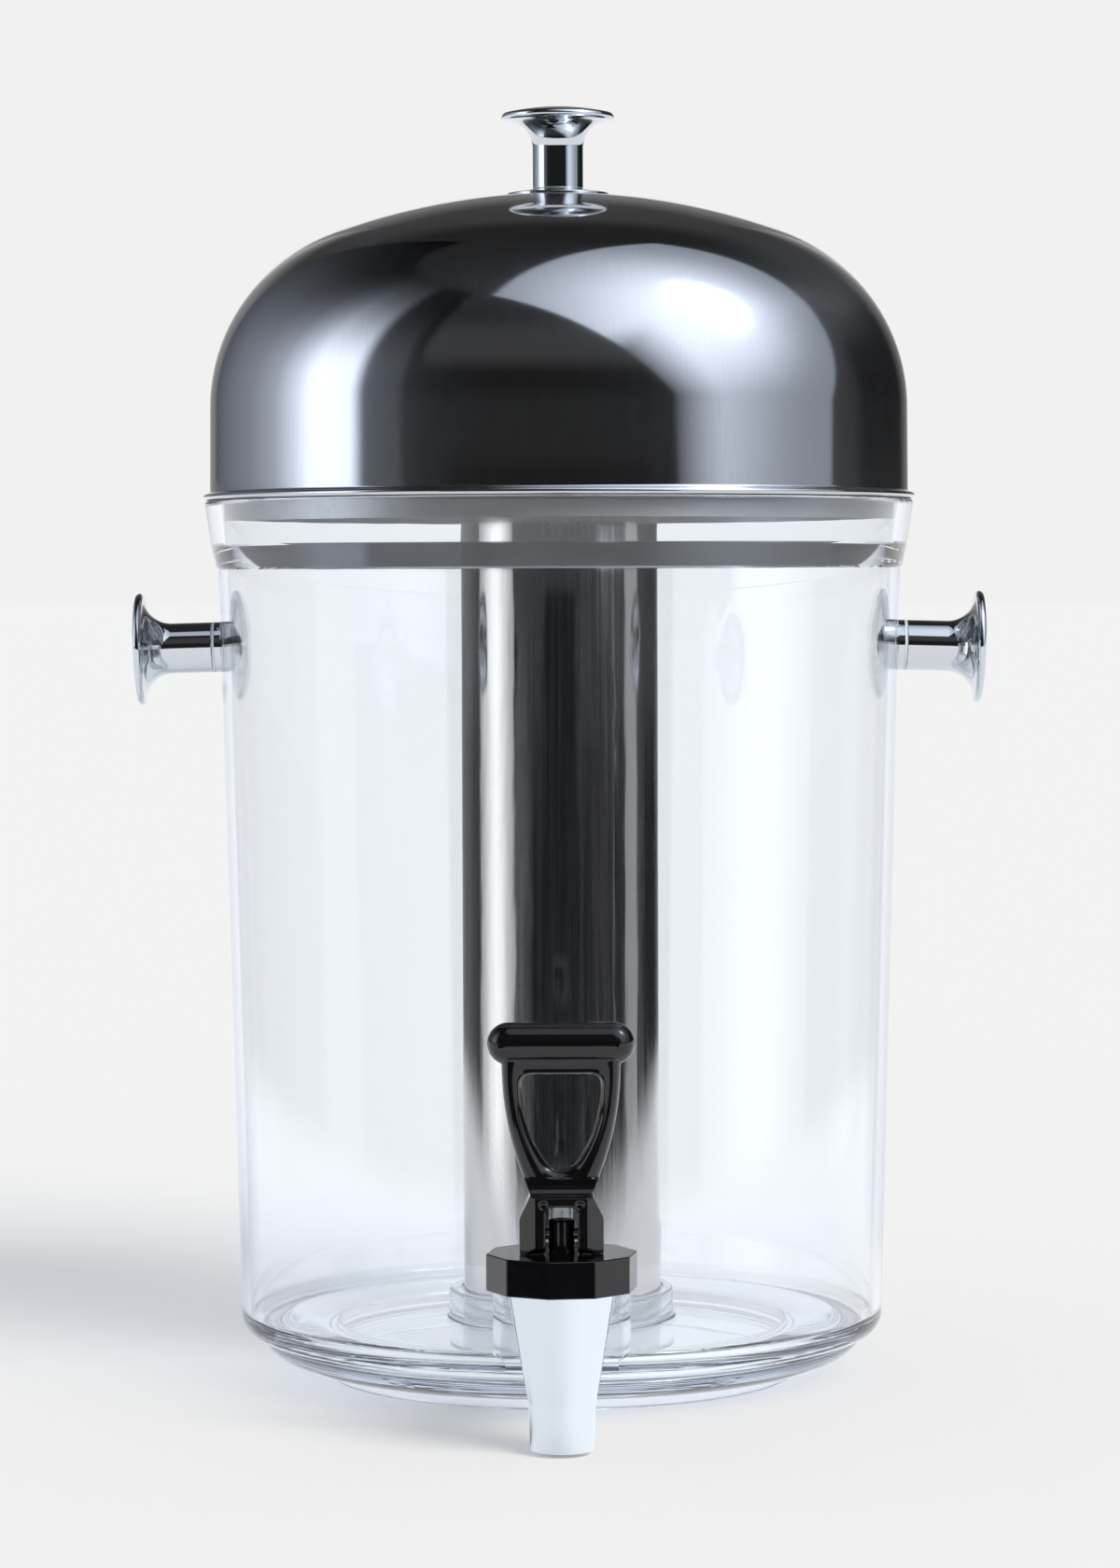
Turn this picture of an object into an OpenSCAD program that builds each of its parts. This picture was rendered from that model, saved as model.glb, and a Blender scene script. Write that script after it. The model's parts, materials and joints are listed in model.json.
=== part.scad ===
// Table-top juice dispenser: a clear drafted vessel on a flared foot ring, a pressed steel lid,
// a standing ice tube, two side handles, and a lever tap whose cam feet lift the stem.
// Millimetres. The origin is on the vessel's axis at table level, +Z is up, the tap faces -Y.

/* [Foot ring] */
// Height of the ring that carries the vessel clear of the table
foot_h = 14; // [13:0.5:30]
// Outer radius of the ring
foot_r = 77.5; // [60:0.5:90]
// Wall of the ring
foot_wall = 3; // [2:0.5:5]
// Height of the ring's upright rim, over which it flares out to the vessel's corner
foot_rim_h = 4; // [2:0.5:8]

/* [Vessel] */
// Height from the bottom face to the rim
vessel_h = 275; // [230:1:330]
// Outer radius at the bottom face
vessel_bottom_r = 106; // [100:0.5:109]
// Outer radius where the collar starts
vessel_top_r = 112.5; // [109:0.5:120]
// Thickness of the wall
vessel_wall = 3; // [2:0.25:4]
// Thickness of the floor
vessel_floor = 5; // [3:0.5:8]
// Outer radius of the rounded bottom corner
corner_r = 7; // [5:0.5:10]

/* [Collar] */
// Height of the collar from its step to the rim
collar_h = 22.4; // [18:0.2:32]
// Height of the steeper band above the step
collar_band_h = 8.2; // [5:0.2:10]
// Width of the step where the collar starts
collar_step = 0.6; // [0.2:0.1:1.5]
// Gain in radius over the steeper band
collar_band_flare = 1.7; // [0.5:0.1:3]
// Gain in radius from the band to the rim
collar_rim_flare = 1.9; // [0.5:0.1:3]
// Thickness of the collar at the rim
rim_wall = 5.1; // [4:0.1:7]
// Rounding of the rim's two edges
rim_round = 1; // [0.4:0.1:1.6]

/* [Lid] */
// Height of the dome over its lip
lid_h = 100.5; // [85:0.5:120]
// Height of the shoulder's centre over the lip
lid_side_h = 30; // [20:1:38]
// Radius of the shoulder
lid_shoulder_r = 60.8; // [40:0.2:68]
// Least rise of the crown over the top of the shoulder
lid_crown_rise = 1.5; // [1:0.1:8]
// Inward lean of the dome's side, degrees
lid_taper = 0.4; // [0:0.1:3]
// Thickness of the sheet
lid_sheet = 1; // [0.6:0.1:1.5]
// How far the lip reaches past the rim
lip_over = 0.5; // [0:0.1:3]
// How far the lip stands out of the dome's side
lip_w = 2.2; // [2.2:0.1:4]
// Thickness of the folded lip
lip_t = 2.2; // [1.6:0.1:2.4]
// Radius of the fillet between lip and side
lip_fillet = 1; // [0.4:0.1:1]
// Depth of the skirt that drops into the collar
skirt_h = 6.5; // [4:0.5:10]

/* [Knobs] */
// Length of a knob along its axis
knob_l = 27; // [22:0.5:40]
// Radius of the knob's disc
knob_disc_r = 18.5; // [15:0.5:24]
// Radius of the knob's stem
knob_stem_r = 8.3; // [7:0.1:10]
// Rounding of the disc's edge
knob_edge_r = 1.3; // [0.8:0.1:2]
// Height of the domed face over the disc's edge
knob_crown = 3.3; // [2.6:0.1:5]
// Radius of the rosette under the lid's knob
rosette_r = 16.75; // [12:0.25:22]
// Height of the rosette over the dome
rosette_h = 1.5; // [1.5:0.1:4]
// Thickness of the rosette's edge
rosette_edge = 0.8; // [0.4:0.1:1.2]

/* [Handles] */
// Drop of the handles' axes below the rim
handle_drop = 48; // [40:1:90]
// Thickness of the spacer on the wall
spacer_t = 1.9; // [1:0.1:6]
// Thickness of the gasket ring at the seam
gasket_t = 0.7; // [0.4:0.1:2]

/* [Screws] */
// Radius of the knob screws
screw_r = 2.5; // [2:0.1:3]
// Reach of a screw into its knob
screw_grip = 11; // [6:0.5:15]
// Radius of a screw's rounded head
screw_head_r = 6.5; // [5:0.5:7]
// Height of a screw's rounded head
screw_head_h = 3.2; // [2:0.1:5]
// Rounding of the head's edge
screw_head_edge = 1.2; // [0.6:0.1:1.6]
// Radius of the washer inside the lid
washer_r = 9; // [7.5:0.5:14]
// Thickness of the washer inside the lid
washer_t = 1.2; // [0.8:0.1:3]

/* [Ice tube] */
// Outer radius of the tube
tube_r = 32.5; // [25:0.5:45]
// Thickness of the tube's sheet
tube_wall = 0.8; // [0.6:0.1:1.5]
// Rise of the tube's mouth over the vessel's rim
tube_rise = 12; // [5:1:30]
// Height of the welded bottom cup
tube_base_h = 12; // [8:0.5:20]
// Rounding of the bottom cup's corner
tube_base_round = 2; // [1.6:0.2:4]
// Radius of the rolled bead at the mouth
tube_bead_r = 1.2; // [0.9:0.1:2]
// Wall of the socket ring
socket_wall = 4.4; // [3:0.1:7]
// Height of the socket ring
socket_h = 9.5; // [5:0.5:15]
// Lead-in chamfer inside the socket's top edge
socket_chamfer = 1.2; // [0.4:0.1:2]

/* [Tap body] */
// Distance from the boss's face to the spout's axis
tap_reach = 39; // [29:0.5:55]
// Height of the shank's axis over the vessel's bottom face
shank_rise = 28; // [27:0.5:60]
// Width of the boss
boss_w = 42.6; // [36:0.2:44]
// Height of the boss's upright sides over the shank's axis
boss_rise = 10.6; // [8:0.2:20]
// Depth of the boss's upright sides under the shank's axis
boss_side = 18.4; // [15:0.2:20]
// Rise of the boss's top over its sides
boss_top = 2.9; // [1:0.1:6]
// Width of the tongue at the boss's lower end
tongue_w = 35.2; // [24:0.2:36]
// Drop from the boss's sides to the tongue
tongue_drop = 2.3; // [1:0.1:3]
// Height of the tongue
tongue_h = 3.4; // [1:0.1:3.6]
// Stand of the boss's face out of the wall
boss_stand = 5.3; // [3:0.1:8]
// Stand of the flat pad inside the wall
pad_stand = 1.6; // [1.4:0.1:4]
// Radius of the flat pad inside the wall
pad_r = 17; // [16.5:0.5:18]
// Radius of the shank
shank_r = 8; // [7:0.25:9]
// Radius of the shank's bore
shank_bore_r = 5.5; // [4:0.25:6]
// Free thread past the nut
shank_end = 3; // [1:0.5:8]
// Thickness of the nut inside the vessel
nut_t = 8; // [5:0.5:12]
// Reach of the nut's corners past the shank
nut_wall = 6; // [4:0.5:7]
// Thickness of the washer under the nut
shank_washer_t = 2; // [1:0.5:4]
// Thickness of the gasket on the boss
shank_gasket_t = 2; // [1:0.5:3]
// Radius of the shank's flange
flange_r = 13; // [12:0.5:15]
// Thickness of the shank's flange
flange_t = 3; // [2:0.5:4]
// Rise of the spout's top over the shank's axis
spout_rise = 7.7; // [7:0.1:14]
// Drop of the spout's tip below the shank's axis
spout_drop = 41; // [36:0.5:41]
// Length of the spout's near-straight end
spout_end_l = 14.6; // [8:0.2:20]
// Radius of the spout under the bonnet
spout_top_r = 16.6; // [15:0.1:18]
// Radius where the cone meets the straight end
spout_neck_r = 10.2; // [9:0.1:12]
// Radius of the spout's tip
spout_tip_r = 9.65; // [8:0.05:11]
// Radius of the outlet
outlet_r = 6.5; // [5:0.1:7.5]
// Radius of the valve chamber
chamber_r = 10.5; // [9.5:0.1:11]
// Depth of the chamber below the shank's axis
chamber_drop = 6; // [5.5:0.1:8]
// Height of the conical valve seat
seat_h = 6; // [4:0.5:8]
// Radius of the threaded top inside the bonnet
thread_r = 15.4; // [13:0.1:16]
// Height of the threaded top
thread_h = 7.6; // [6:0.1:12]

/* [Bonnet] */
// Radius over the corners of the ten-sided bonnet
bonnet_r = 23; // [20:0.25:26]
// Height of the bonnet
bonnet_h = 11.2; // [10:0.1:16]
// Turn of the bonnet's corners, degrees
bonnet_turn = 8; // [0:1:36]
// Chamfer of the bonnet's edges
bonnet_chamfer = 0.4; // [0.2:0.1:1.5]

/* [Stem and spring] */
// Radius of the stem
stem_r = 3.95; // [3:0.05:4.2]
// Rise of the stem over the lever's pin
stem_rise = 4.4; // [3:0.1:5]
// Radius of the lever's pin
pin_r = 1.75; // [1.2:0.05:2]
// Radius of the seat cup
cup_r = 8.2; // [7.4:0.1:8.8]
// Height of the seat cup
cup_h = 7; // [6:0.5:8]
// Thickness of the seat cup under the stem
cup_floor = 2; // [1:0.5:3]
// Mean radius of the spring
spring_r = 6; // [5.4:0.1:7]
// Radius of the spring's wire
wire_r = 0.6; // [0.3:0.05:0.7]
// Turns of the spring
spring_turns = 6; // [3:1:7]

/* [Lever] */
// Width of the cross-bar
bar_w = 44.4; // [40:0.2:60]
// Radius of the cross-bar
bar_r = 6.4; // [5:0.1:8]
// Height of the cross-bar's axis over the pin
bar_rise = 57.4; // [50:0.1:70]
// Width of the loop under the cross-bar
loop_w = 35.8; // [32:0.2:40]
// Depth of the loop's arms
arm_d = 9; // [6:0.5:12]
// Width of the finger window
window_w = 24; // [20:0.2:26]
// Height of the window's lower end over the pin
window_low = 19.6; // [18:0.1:22]
// Height of the window's upper end over the pin
window_high = 48.1; // [42:0.1:49]
// Rounding of the window's upper corners
window_corner = 3; // [1:0.1:6]
// Rounding of the window's lower end
window_round = 6; // [4:0.1:9]
// Width of the lever's waist
waist_w = 18.6; // [17:0.2:22]
// Height of the waist over the pin
waist_rise = 12.3; // [11.5:0.1:14]
// Width of the forked foot
fork_w = 25.4; // [24:0.2:30]
// Depth of the forked foot
fork_d = 18; // [17.4:0.2:22]
// Chamfer of the foot's upright edges
fork_chamfer = 4.9; // [2:0.1:5.5]
// Height of the foot's straight sides over the pin
fork_side = 5; // [3:0.1:9]
// Height of the foot's front face over the pin
fork_face = 11.7; // [10.5:0.1:13]
// Width of the fork's slot
slot_w = 9.7; // [9.2:0.1:11]
// Height of the slot over the pin
slot_rise = 8.9; // [7.5:0.1:9.5]
// Rounding of the slot's upper corners
slot_corner = 2; // [1:0.1:3]
// Radius of the two moulding dimples in the foot's face
dimple_r = 1.25; // [0.8:0.05:1.4]
// Depth of the dimples
dimple_depth = 0.5; // [0.2:0.1:1]
// Rise of the dimples over the slot's top
dimple_rise = 0.5; // [0:0.1:1]
// Height of the cam feet below the pin
cam_h = 5.3; // [4.5:0.1:6]
// Lift of the stem at full pull
cam_lift = 2.8; // [1.5:0.1:3]
// Pull of the lever, degrees
lever_pull = 35; // [20:1:36]
// Run of the cam past full pull, degrees
cam_spare = 5; // [2:1:8]

/* [Clearances] */
// Gap under pieces that only stand or rest
rest_gap = 0.2; // [0.1:0.05:0.5]
// Gap between fixed pieces that seat on each other
seat_gap = 0.05; // [0.02:0.01:0.1]
// Radial clearance of running fits
run_gap = 0.06; // [0.02:0.01:0.1]
// Gap beside pieces that lift out
slide_gap = 0.5; // [0.3:0.05:0.8]
// Gap between the cam feet and the bonnet
cam_gap = 0.3; // [0.2:0.05:0.5]
// Radial clearance of screws and shank in the wall
hole_gap = 0.3; // [0.1:0.05:0.6]

/* [Hidden] */
$fn = 96;

// Directions of the two handles along X
LEFT = -1;
RIGHT = 1;
// Segments of a drawn arc
ARC_N = 20;
// Sides of the wall where it shapes a saddle
SADDLE_N = 720;
// Reach of a cutting tool past the face that it leaves
past = 1;

// Vessel
z_bottom = foot_h;
z_floor = z_bottom + vessel_floor;
z_rim = z_bottom + vessel_h;
z_collar = z_rim - collar_h;
z_band = z_collar + collar_band_h;
draft = atan((vessel_top_r - vessel_bottom_r) / (z_collar - z_bottom));
band_r = vessel_top_r + collar_step + collar_band_flare;
rim_r = band_r + collar_rim_flare;
rim_in_r = rim_r - rim_wall;
corner_in_r = max(corner_r - vessel_wall, 1);
flat_r = vessel_bottom_r + corner_r * tan(draft) - corner_r / cos(draft);

// Lid
z_lid = z_rim + rest_gap;
lip_r = rim_r + lip_over;
lid_side_r = lip_r - lip_w;
z_apex = z_lid + lid_h;
lid_crown_e = lid_h - lid_side_h;
lid_shoulder = min(lid_shoulder_r, lid_crown_e - lid_crown_rise);
lid_shoulder_x = lid_side_r - (lid_side_h - lip_t) * tan(lid_taper) - lid_shoulder / cos(lid_taper);
lid_crown_r = crown_r(lid_shoulder_x, lid_crown_e, lid_shoulder);
skirt_r = collar_in_r(z_rim - skirt_h) - slide_gap;
z_rosette = z_apex + rosette_h;
washer_drop = lid_crown_r - sqrt(pow(lid_crown_r, 2) - pow(washer_r, 2));
z_washer = z_apex - lid_sheet - washer_drop - seat_gap - washer_t;

// Handles
handle_z = z_rim - handle_drop;
head_sag = inner_r(handle_z) - sqrt(pow(inner_r(handle_z), 2) - pow(screw_head_r, 2));
knob_seat = spacer_t + gasket_t + 2 * seat_gap;

// Ice tube
z_tube = z_floor + rest_gap;
z_weld = z_tube + tube_base_h;
z_mouth = z_rim + tube_rise;

// Tap
shank_z = z_bottom + shank_rise;
boss_y = wall_r(shank_z) + boss_stand;
pad_y = inner_r(shank_z) - pad_stand;
spout_y = boss_y + tap_reach;
nut_r = shank_r + nut_wall;
nut_y = pad_y - shank_washer_t - 2 * seat_gap;
flange_y = boss_y + shank_gasket_t + 2 * seat_gap;
spout_z = shank_z + spout_rise;
tip_z = shank_z - spout_drop;
neck_z = tip_z + spout_end_l;
chamber_z = shank_z - chamber_drop;
seat_z = chamber_z - seat_h;
bonnet_z = spout_z + seat_gap;
bonnet_top = bonnet_z + bonnet_h;
bonnet_roof = spout_z + thread_h + 4 * seat_gap;

// Stem, cup, spring and pin
cup_z = seat_z + seat_h * (cup_r + cam_gap - outlet_r) / (chamber_r - outlet_r);
pin_z = bonnet_top + cam_gap + cam_h;
stem_z = cup_z + cup_floor;
stem_top = pin_z + stem_rise;
spring_low = cup_z + cup_h + seat_gap + wire_r;
spring_high = bonnet_roof - seat_gap - wire_r;
spring_rings = 8;
spring_sides = 6;
pin_l = fork_w - 2 * seat_gap;

// Lever, with heights measured from the pin
cam_rate = cam_lift / (lever_pull * PI / 180);
cam_end = lever_pull + cam_spare;
loop_top = bar_rise - bar_r;
loop_dx = (loop_w - waist_w) / 2;
loop_dz = loop_top - waist_rise;
loop_arc_r = (pow(loop_dx, 2) + pow(loop_dz, 2)) / (2 * loop_dx);
window_shoulder = window_high - window_corner;
window_dz = window_shoulder - window_low - window_round;
scoop_r = (fork_d - arm_d) / 2;
dimple_x = (slot_w + dimple_r) / 2;
dimple_z = slot_rise + dimple_rise;

// Outer radius of the drafted wall at height z
function wall_r(z) = vessel_bottom_r + (z - z_bottom) * tan(draft);
// Inner radius of the drafted wall at height z
function inner_r(z) = wall_r(z) - vessel_wall / cos(draft);
// Inner radius of the collar's upper band at height z
function collar_in_r(z) = inner_r(z_band) + (rim_in_r - inner_r(z_band)) * (z - z_band) / (z_rim - z_band);
// Points of an arc about c from angle a0 to a1, leaving out the first few when asked
function arc(c, r, a0, a1, first = 0) =
  [for (i = [first:ARC_N]) let(a = a0 + (a1 - a0) * i / ARC_N) c + r * [cos(a), sin(a)]];
// Radius of a crown that runs tangent into a shoulder of radius rs, whose centre lies
// d from the axis and e below the crown's top
function crown_r(d, e, rs) = (d * d + e * e - rs * rs) / (2 * (e - rs));
// Half outline of such a crown, from angle a0 on the shoulder to the top on the axis,
// with the shoulder's centre at height 0
function crown(d, e, rs, a0) =
  let(rc = crown_r(d, e, rs), a1 = atan2(rc - e, d))
  concat(arc([d, 0], rs, a0, a1), arc([0, e - rc], rc, a1, 90, 1));
function raised(points, z) = [for (p = points) p + [0, z]];
function reversed(points) = [for (i = [len(points) - 1:-1:0]) points[i]];
// A half outline joined to its mirror image across the upright axis
function mirrored(half) = concat(half, [for (p = reversed(half)) [-p.x, p.y]]);
// Point of the cam at a degrees of pull: the height over the bonnet grows evenly with the pull
function cam(a) =
  let(h = cam_h + cam_rate * a * PI / 180)
  [h * sin(a) + cam_rate * cos(a), cam_rate * sin(a) - h * cos(a)];

module ring(r_out, r_in, h) {
  difference() {
    cylinder(r = r_out, h = h);
    translate([0, 0, -past]) cylinder(r = r_in, h = h + 2 * past);
  }
}

// Places children on the outside of the wall, with +Z pointing straight out of it
module on_wall(side) {
  translate([side * wall_r(handle_z), 0, handle_z]) rotate([0, side * (90 + draft), 0]) children();
}

// Places children on the shank's axis at a distance y in front of the vessel's axis,
// with +Z pointing to the front
module on_shank(y) {
  translate([0, -y, shank_z]) rotate([90, 0, 0]) children();
}

module on_spout() {
  translate([0, -spout_y, 0]) children();
}

module on_pin() {
  translate([0, -spout_y, pin_z]) children();
}

// Vessel

module vessel_outside() {
  rotate_extrude() polygon(concat(
    [[0, z_bottom]],
    arc([flat_r, z_bottom + corner_r], corner_r, -90, -draft),
    [[vessel_top_r, z_collar], [vessel_top_r + collar_step, z_collar + collar_step], [band_r, z_band]],
    arc([rim_r - rim_round, z_rim - rim_round], rim_round, 0, 90),
    [[0, z_rim]]));
}

module vessel_inside() {
  cz = z_floor + corner_in_r;
  cx = inner_r(cz) - corner_in_r / cos(draft);
  rotate_extrude() polygon(concat(
    [[0, z_floor]],
    arc([cx, cz], corner_in_r, -90, -draft),
    [[inner_r(z_band), z_band]],
    arc([rim_in_r + rim_round, z_rim - rim_round], rim_round, 180, 90),
    [[rim_in_r + rim_round, z_rim + past], [0, z_rim + past]]));
}

// Outline of the tap's boss about the shank's axis, with a narrower tongue below
module boss_face() {
  half = boss_w / 2;
  tongue = tongue_w / 2;
  tongue_top = -boss_side - tongue_drop;
  polygon(mirrored([
    [tongue, tongue_top - tongue_h], [tongue, tongue_top], [half, -boss_side], [half, boss_rise],
    [half - boss_top, boss_rise + boss_top]]));
}

module vessel() {
  color("#dfe6ee", 0.4) difference() {
    union() {
      vessel_outside();
      on_shank(boss_y - boss_w / 2) linear_extrude(boss_w / 2) boss_face();
    }
    difference() {
      vessel_inside();
      on_shank(pad_y) cylinder(r = pad_r, h = boss_y - pad_y);
    }
    on_shank(pad_y - past) cylinder(r = shank_r + hole_gap, h = boss_y - pad_y + 2 * past);
    for (side = [LEFT, RIGHT])
      on_wall(side) translate([0, 0, -2 * vessel_wall]) cylinder(r = screw_r + hole_gap, h = 4 * vessel_wall);
  }
}

module base_ring() {
  foot_in_r = foot_r - foot_wall;
  flare_h = z_bottom - seat_gap - foot_rim_h;
  flare = [for (i = [0:ARC_N]) let(a = 90 * i / ARC_N)
    [foot_r + (flat_r - foot_r) * sin(a), foot_rim_h + flare_h * (1 - cos(a))]];
  color("#d5dde6", 0.5) rotate_extrude() polygon(concat(
    [[foot_in_r, 0], [foot_r, 0]], flare, [[foot_in_r, z_bottom - seat_gap]]));
}

module tube_socket() {
  inner = tube_r + slide_gap;
  color("#d5dde6", 0.5) rotate_extrude() translate([0, z_floor]) polygon([
    [inner, 0], [inner + socket_wall, 0], [inner + socket_wall, socket_h],
    [inner + socket_chamfer, socket_h], [inner, socket_h - socket_chamfer]]);
}

// Ice tube

module ice_tube() {
  color("#b9bcbf") rotate_extrude() {
    translate([tube_r - tube_wall, z_weld]) square([tube_wall, z_mouth - z_weld - tube_bead_r]);
    translate([tube_r + tube_bead_r - tube_wall, z_mouth - tube_bead_r]) circle(r = tube_bead_r);
  }
}

module ice_tube_base() {
  in_round = tube_base_round - tube_wall;
  corner = [tube_r - tube_base_round, tube_base_round];
  color("#b0b3b6") translate([0, 0, z_tube]) rotate_extrude() polygon(concat(
    [[0, 0]],
    arc(corner, tube_base_round, -90, 0),
    [[tube_r, tube_base_h], [tube_r - tube_wall, tube_base_h]],
    arc(corner, in_round, 0, -90),
    [[0, tube_wall]]));
}

// Lid

module lid_dome() {
  outer = raised(crown(lid_shoulder_x, lid_crown_e, lid_shoulder, -lid_taper), lid_side_h);
  inner = raised(crown(lid_shoulder_x, lid_crown_e - lid_sheet, lid_shoulder - lid_sheet, -lid_taper),
    lid_side_h);
  foot_in_r = lid_side_r - lid_sheet / cos(lid_taper);
  color("#8c8f92") translate([0, 0, z_lid]) difference() {
    rotate_extrude() polygon(concat(
      [[skirt_r - lid_sheet, -skirt_h], [skirt_r, -skirt_h], [skirt_r, 0]],
      arc([lip_r - lip_t / 2, lip_t / 2], lip_t / 2, -90, 90),
      arc([lid_side_r + lip_fillet, lip_t + lip_fillet], lip_fillet, 270, 180),
      outer, reversed(inner),
      [[foot_in_r, lid_sheet], [skirt_r - lid_sheet, lid_sheet]]));
    translate([0, 0, lid_h / 2]) cylinder(r = screw_r + hole_gap, h = lid_h);
  }
}

// A turned mushroom knob: stem, trumpet flare and domed disc, with a blind screw hole
module knob() {
  edge_z = knob_l - knob_crown;
  disc_x = knob_disc_r - knob_edge_r;
  flare_r = disc_x - knob_stem_r;
  difference() {
    rotate_extrude() polygon(concat(
      [[0, 0], [knob_stem_r, 0]],
      arc([disc_x, edge_z - knob_edge_r - flare_r], flare_r, 180, 90),
      raised(crown(disc_x, knob_crown, knob_edge_r, -90), edge_z)));
    translate([0, 0, -past]) cylinder(r = screw_r + seat_gap, h = screw_grip + 2 * past);
  }
}

// A screw with a rounded head: the head hangs below height 0, the shaft rises by l
module knob_screw(l) {
  head = crown(screw_head_r - screw_head_edge, screw_head_h, screw_head_edge, 0);
  union() {
    rotate([180, 0, 0]) rotate_extrude() polygon(concat([[0, 0]], head));
    translate([0, 0, -screw_head_h / 2]) cylinder(r = screw_r, h = l + screw_head_h / 2);
  }
}

module lid_knob() {
  color("#c9cdd1") translate([0, 0, z_rosette + seat_gap]) knob();
}

module knob_rosette() {
  hole = screw_r + hole_gap;
  crown_z = z_apex - lid_crown_r + seat_gap;
  a_hole = acos(hole / lid_crown_r);
  a_edge = acos(rosette_r / lid_crown_r);
  edge = lid_crown_r * sin(a_edge) + rosette_edge;
  top = lid_crown_r + rosette_h - seat_gap;
  color("#c4c8cc") translate([0, 0, crown_z]) rotate_extrude() polygon(concat(
    arc([0, 0], lid_crown_r, a_hole, a_edge),
    [[rosette_r, edge], [knob_stem_r + rosette_edge, top], [hole, top]]));
}

module lid_screw() {
  reach = z_rosette + screw_grip - z_washer;
  color("#b4b7ba") translate([0, 0, z_washer - seat_gap]) knob_screw(reach);
}

module lid_washer() {
  color("#e4e6e8") translate([0, 0, z_washer]) ring(washer_r, screw_r + hole_gap, washer_t);
}

// Handles

module handle_knob(side) {
  color("#c9cdd1") on_wall(side) translate([0, 0, knob_seat]) knob();
}

module handle_gasket(side) {
  color("#f0f2f4") on_wall(side) translate([0, 0, spacer_t + seat_gap])
    ring(knob_stem_r, screw_r + hole_gap, gasket_t);
}

module handle_spacer(side) {
  color("#bfc4c9") difference() {
    on_wall(side) translate([0, 0, -vessel_wall])
      ring(knob_stem_r, screw_r + hole_gap, spacer_t + vessel_wall);
    translate([0, 0, z_bottom])
      cylinder(r1 = vessel_bottom_r + seat_gap, r2 = vessel_top_r + seat_gap, h = z_collar - z_bottom,
        $fn = SADDLE_N);
  }
}

module handle_screw(side) {
  head_z = -vessel_wall - head_sag - seat_gap;
  color("#c2c6ca") on_wall(side) translate([0, 0, head_z]) knob_screw(knob_seat + screw_grip - head_z);
}

// Tap

module tap_body() {
  shank_tail = nut_y - nut_t - shank_end;
  color("#d3d5d8") difference() {
    union() {
      on_spout() rotate_extrude() polygon([
        [0, tip_z], [spout_tip_r, tip_z], [spout_neck_r, neck_z], [spout_top_r, spout_z],
        [thread_r, spout_z], [thread_r, spout_z + thread_h], [0, spout_z + thread_h]]);
      on_shank(shank_tail) cylinder(r = shank_r, h = spout_y - shank_tail);
      on_shank(flange_y) cylinder(r = flange_r, h = flange_t);
    }
    on_spout() rotate_extrude() polygon([
      [0, tip_z - past], [outlet_r, tip_z - past], [outlet_r, seat_z], [chamber_r, chamber_z],
      [chamber_r, spout_z + thread_h + past], [0, spout_z + thread_h + past]]);
    on_shank(shank_tail - past) cylinder(r = shank_bore_r, h = spout_y - shank_tail);
  }
}

module tap_bonnet() {
  color("#141416") on_spout() difference() {
    translate([0, 0, bonnet_z]) rotate(bonnet_turn) {
      cylinder(r1 = bonnet_r - bonnet_chamfer, r2 = bonnet_r, h = bonnet_chamfer, $fn = 10);
      translate([0, 0, bonnet_chamfer]) cylinder(r = bonnet_r, h = bonnet_h - 2 * bonnet_chamfer, $fn = 10);
      translate([0, 0, bonnet_h - bonnet_chamfer])
        cylinder(r1 = bonnet_r, r2 = bonnet_r - bonnet_chamfer, h = bonnet_chamfer, $fn = 10);
    }
    translate([0, 0, bonnet_z - past]) cylinder(r = thread_r + seat_gap, h = bonnet_roof - bonnet_z + past);
    translate([0, 0, bonnet_z]) cylinder(r = stem_r + run_gap, h = bonnet_h + past);
  }
}

module lever_front() {
  polygon(mirrored(concat(
    [[fork_w / 2, -cam_h - past], [fork_w / 2, fork_side]],
    arc([loop_w / 2 - loop_arc_r, loop_top], loop_arc_r, -asin(loop_dz / loop_arc_r), 0),
    [[loop_w / 2, bar_rise]])));
}

module lever_side() {
  toe = [for (i = [0:ARC_N]) cam(cam_end * i / ARC_N)];
  polygon(mirrored(concat(
    toe,
    [[fork_d / 2, cam(cam_end).y + (fork_d / 2 - cam(cam_end).x)], [fork_d / 2, fork_face]],
    arc([fork_d / 2, fork_face + scoop_r], scoop_r, 270, 180, 1),
    [[arm_d / 2, bar_rise]])));
}

module lever_window() {
  side = crown(window_dz, window_w / 2, window_round, 3);
  polygon(mirrored(concat(
    [for (p = side) [p.y, window_shoulder - p.x]],
    arc([window_w / 2 - window_corner, window_shoulder], window_corner, 0, 90, 1))));
}

module lever_slot() {
  polygon(mirrored(concat(
    [[slot_w / 2, -cam_h - 2 * past]],
    arc([slot_w / 2 - slot_corner, slot_rise - slot_corner], slot_corner, 0, 90))));
}

// Plan of the forked foot, with its upright edges cut off
module fork_plan() {
  x = fork_w / 2;
  y = fork_d / 2;
  polygon(mirrored([
    [x - fork_chamfer, -y], [x, fork_chamfer - y], [x, y - fork_chamfer], [x - fork_chamfer, y]]));
}

// Extrudes an outline drawn in X and Z through a depth along Y
module through(depth) {
  rotate([90, 0, 0]) translate([0, 0, -depth / 2]) linear_extrude(depth) children();
}

module lever_blank() {
  plan_top = fork_face + scoop_r;
  intersection() {
    through(fork_d + past) lever_front();
    rotate([0, 0, 90]) through(loop_w + past) lever_side();
    union() {
      translate([0, 0, -cam_h - past]) linear_extrude(plan_top + cam_h + past) fork_plan();
      translate([-loop_w / 2, -fork_d / 2, plan_top]) cube([loop_w, fork_d, bar_rise]);
    }
  }
}

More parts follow.
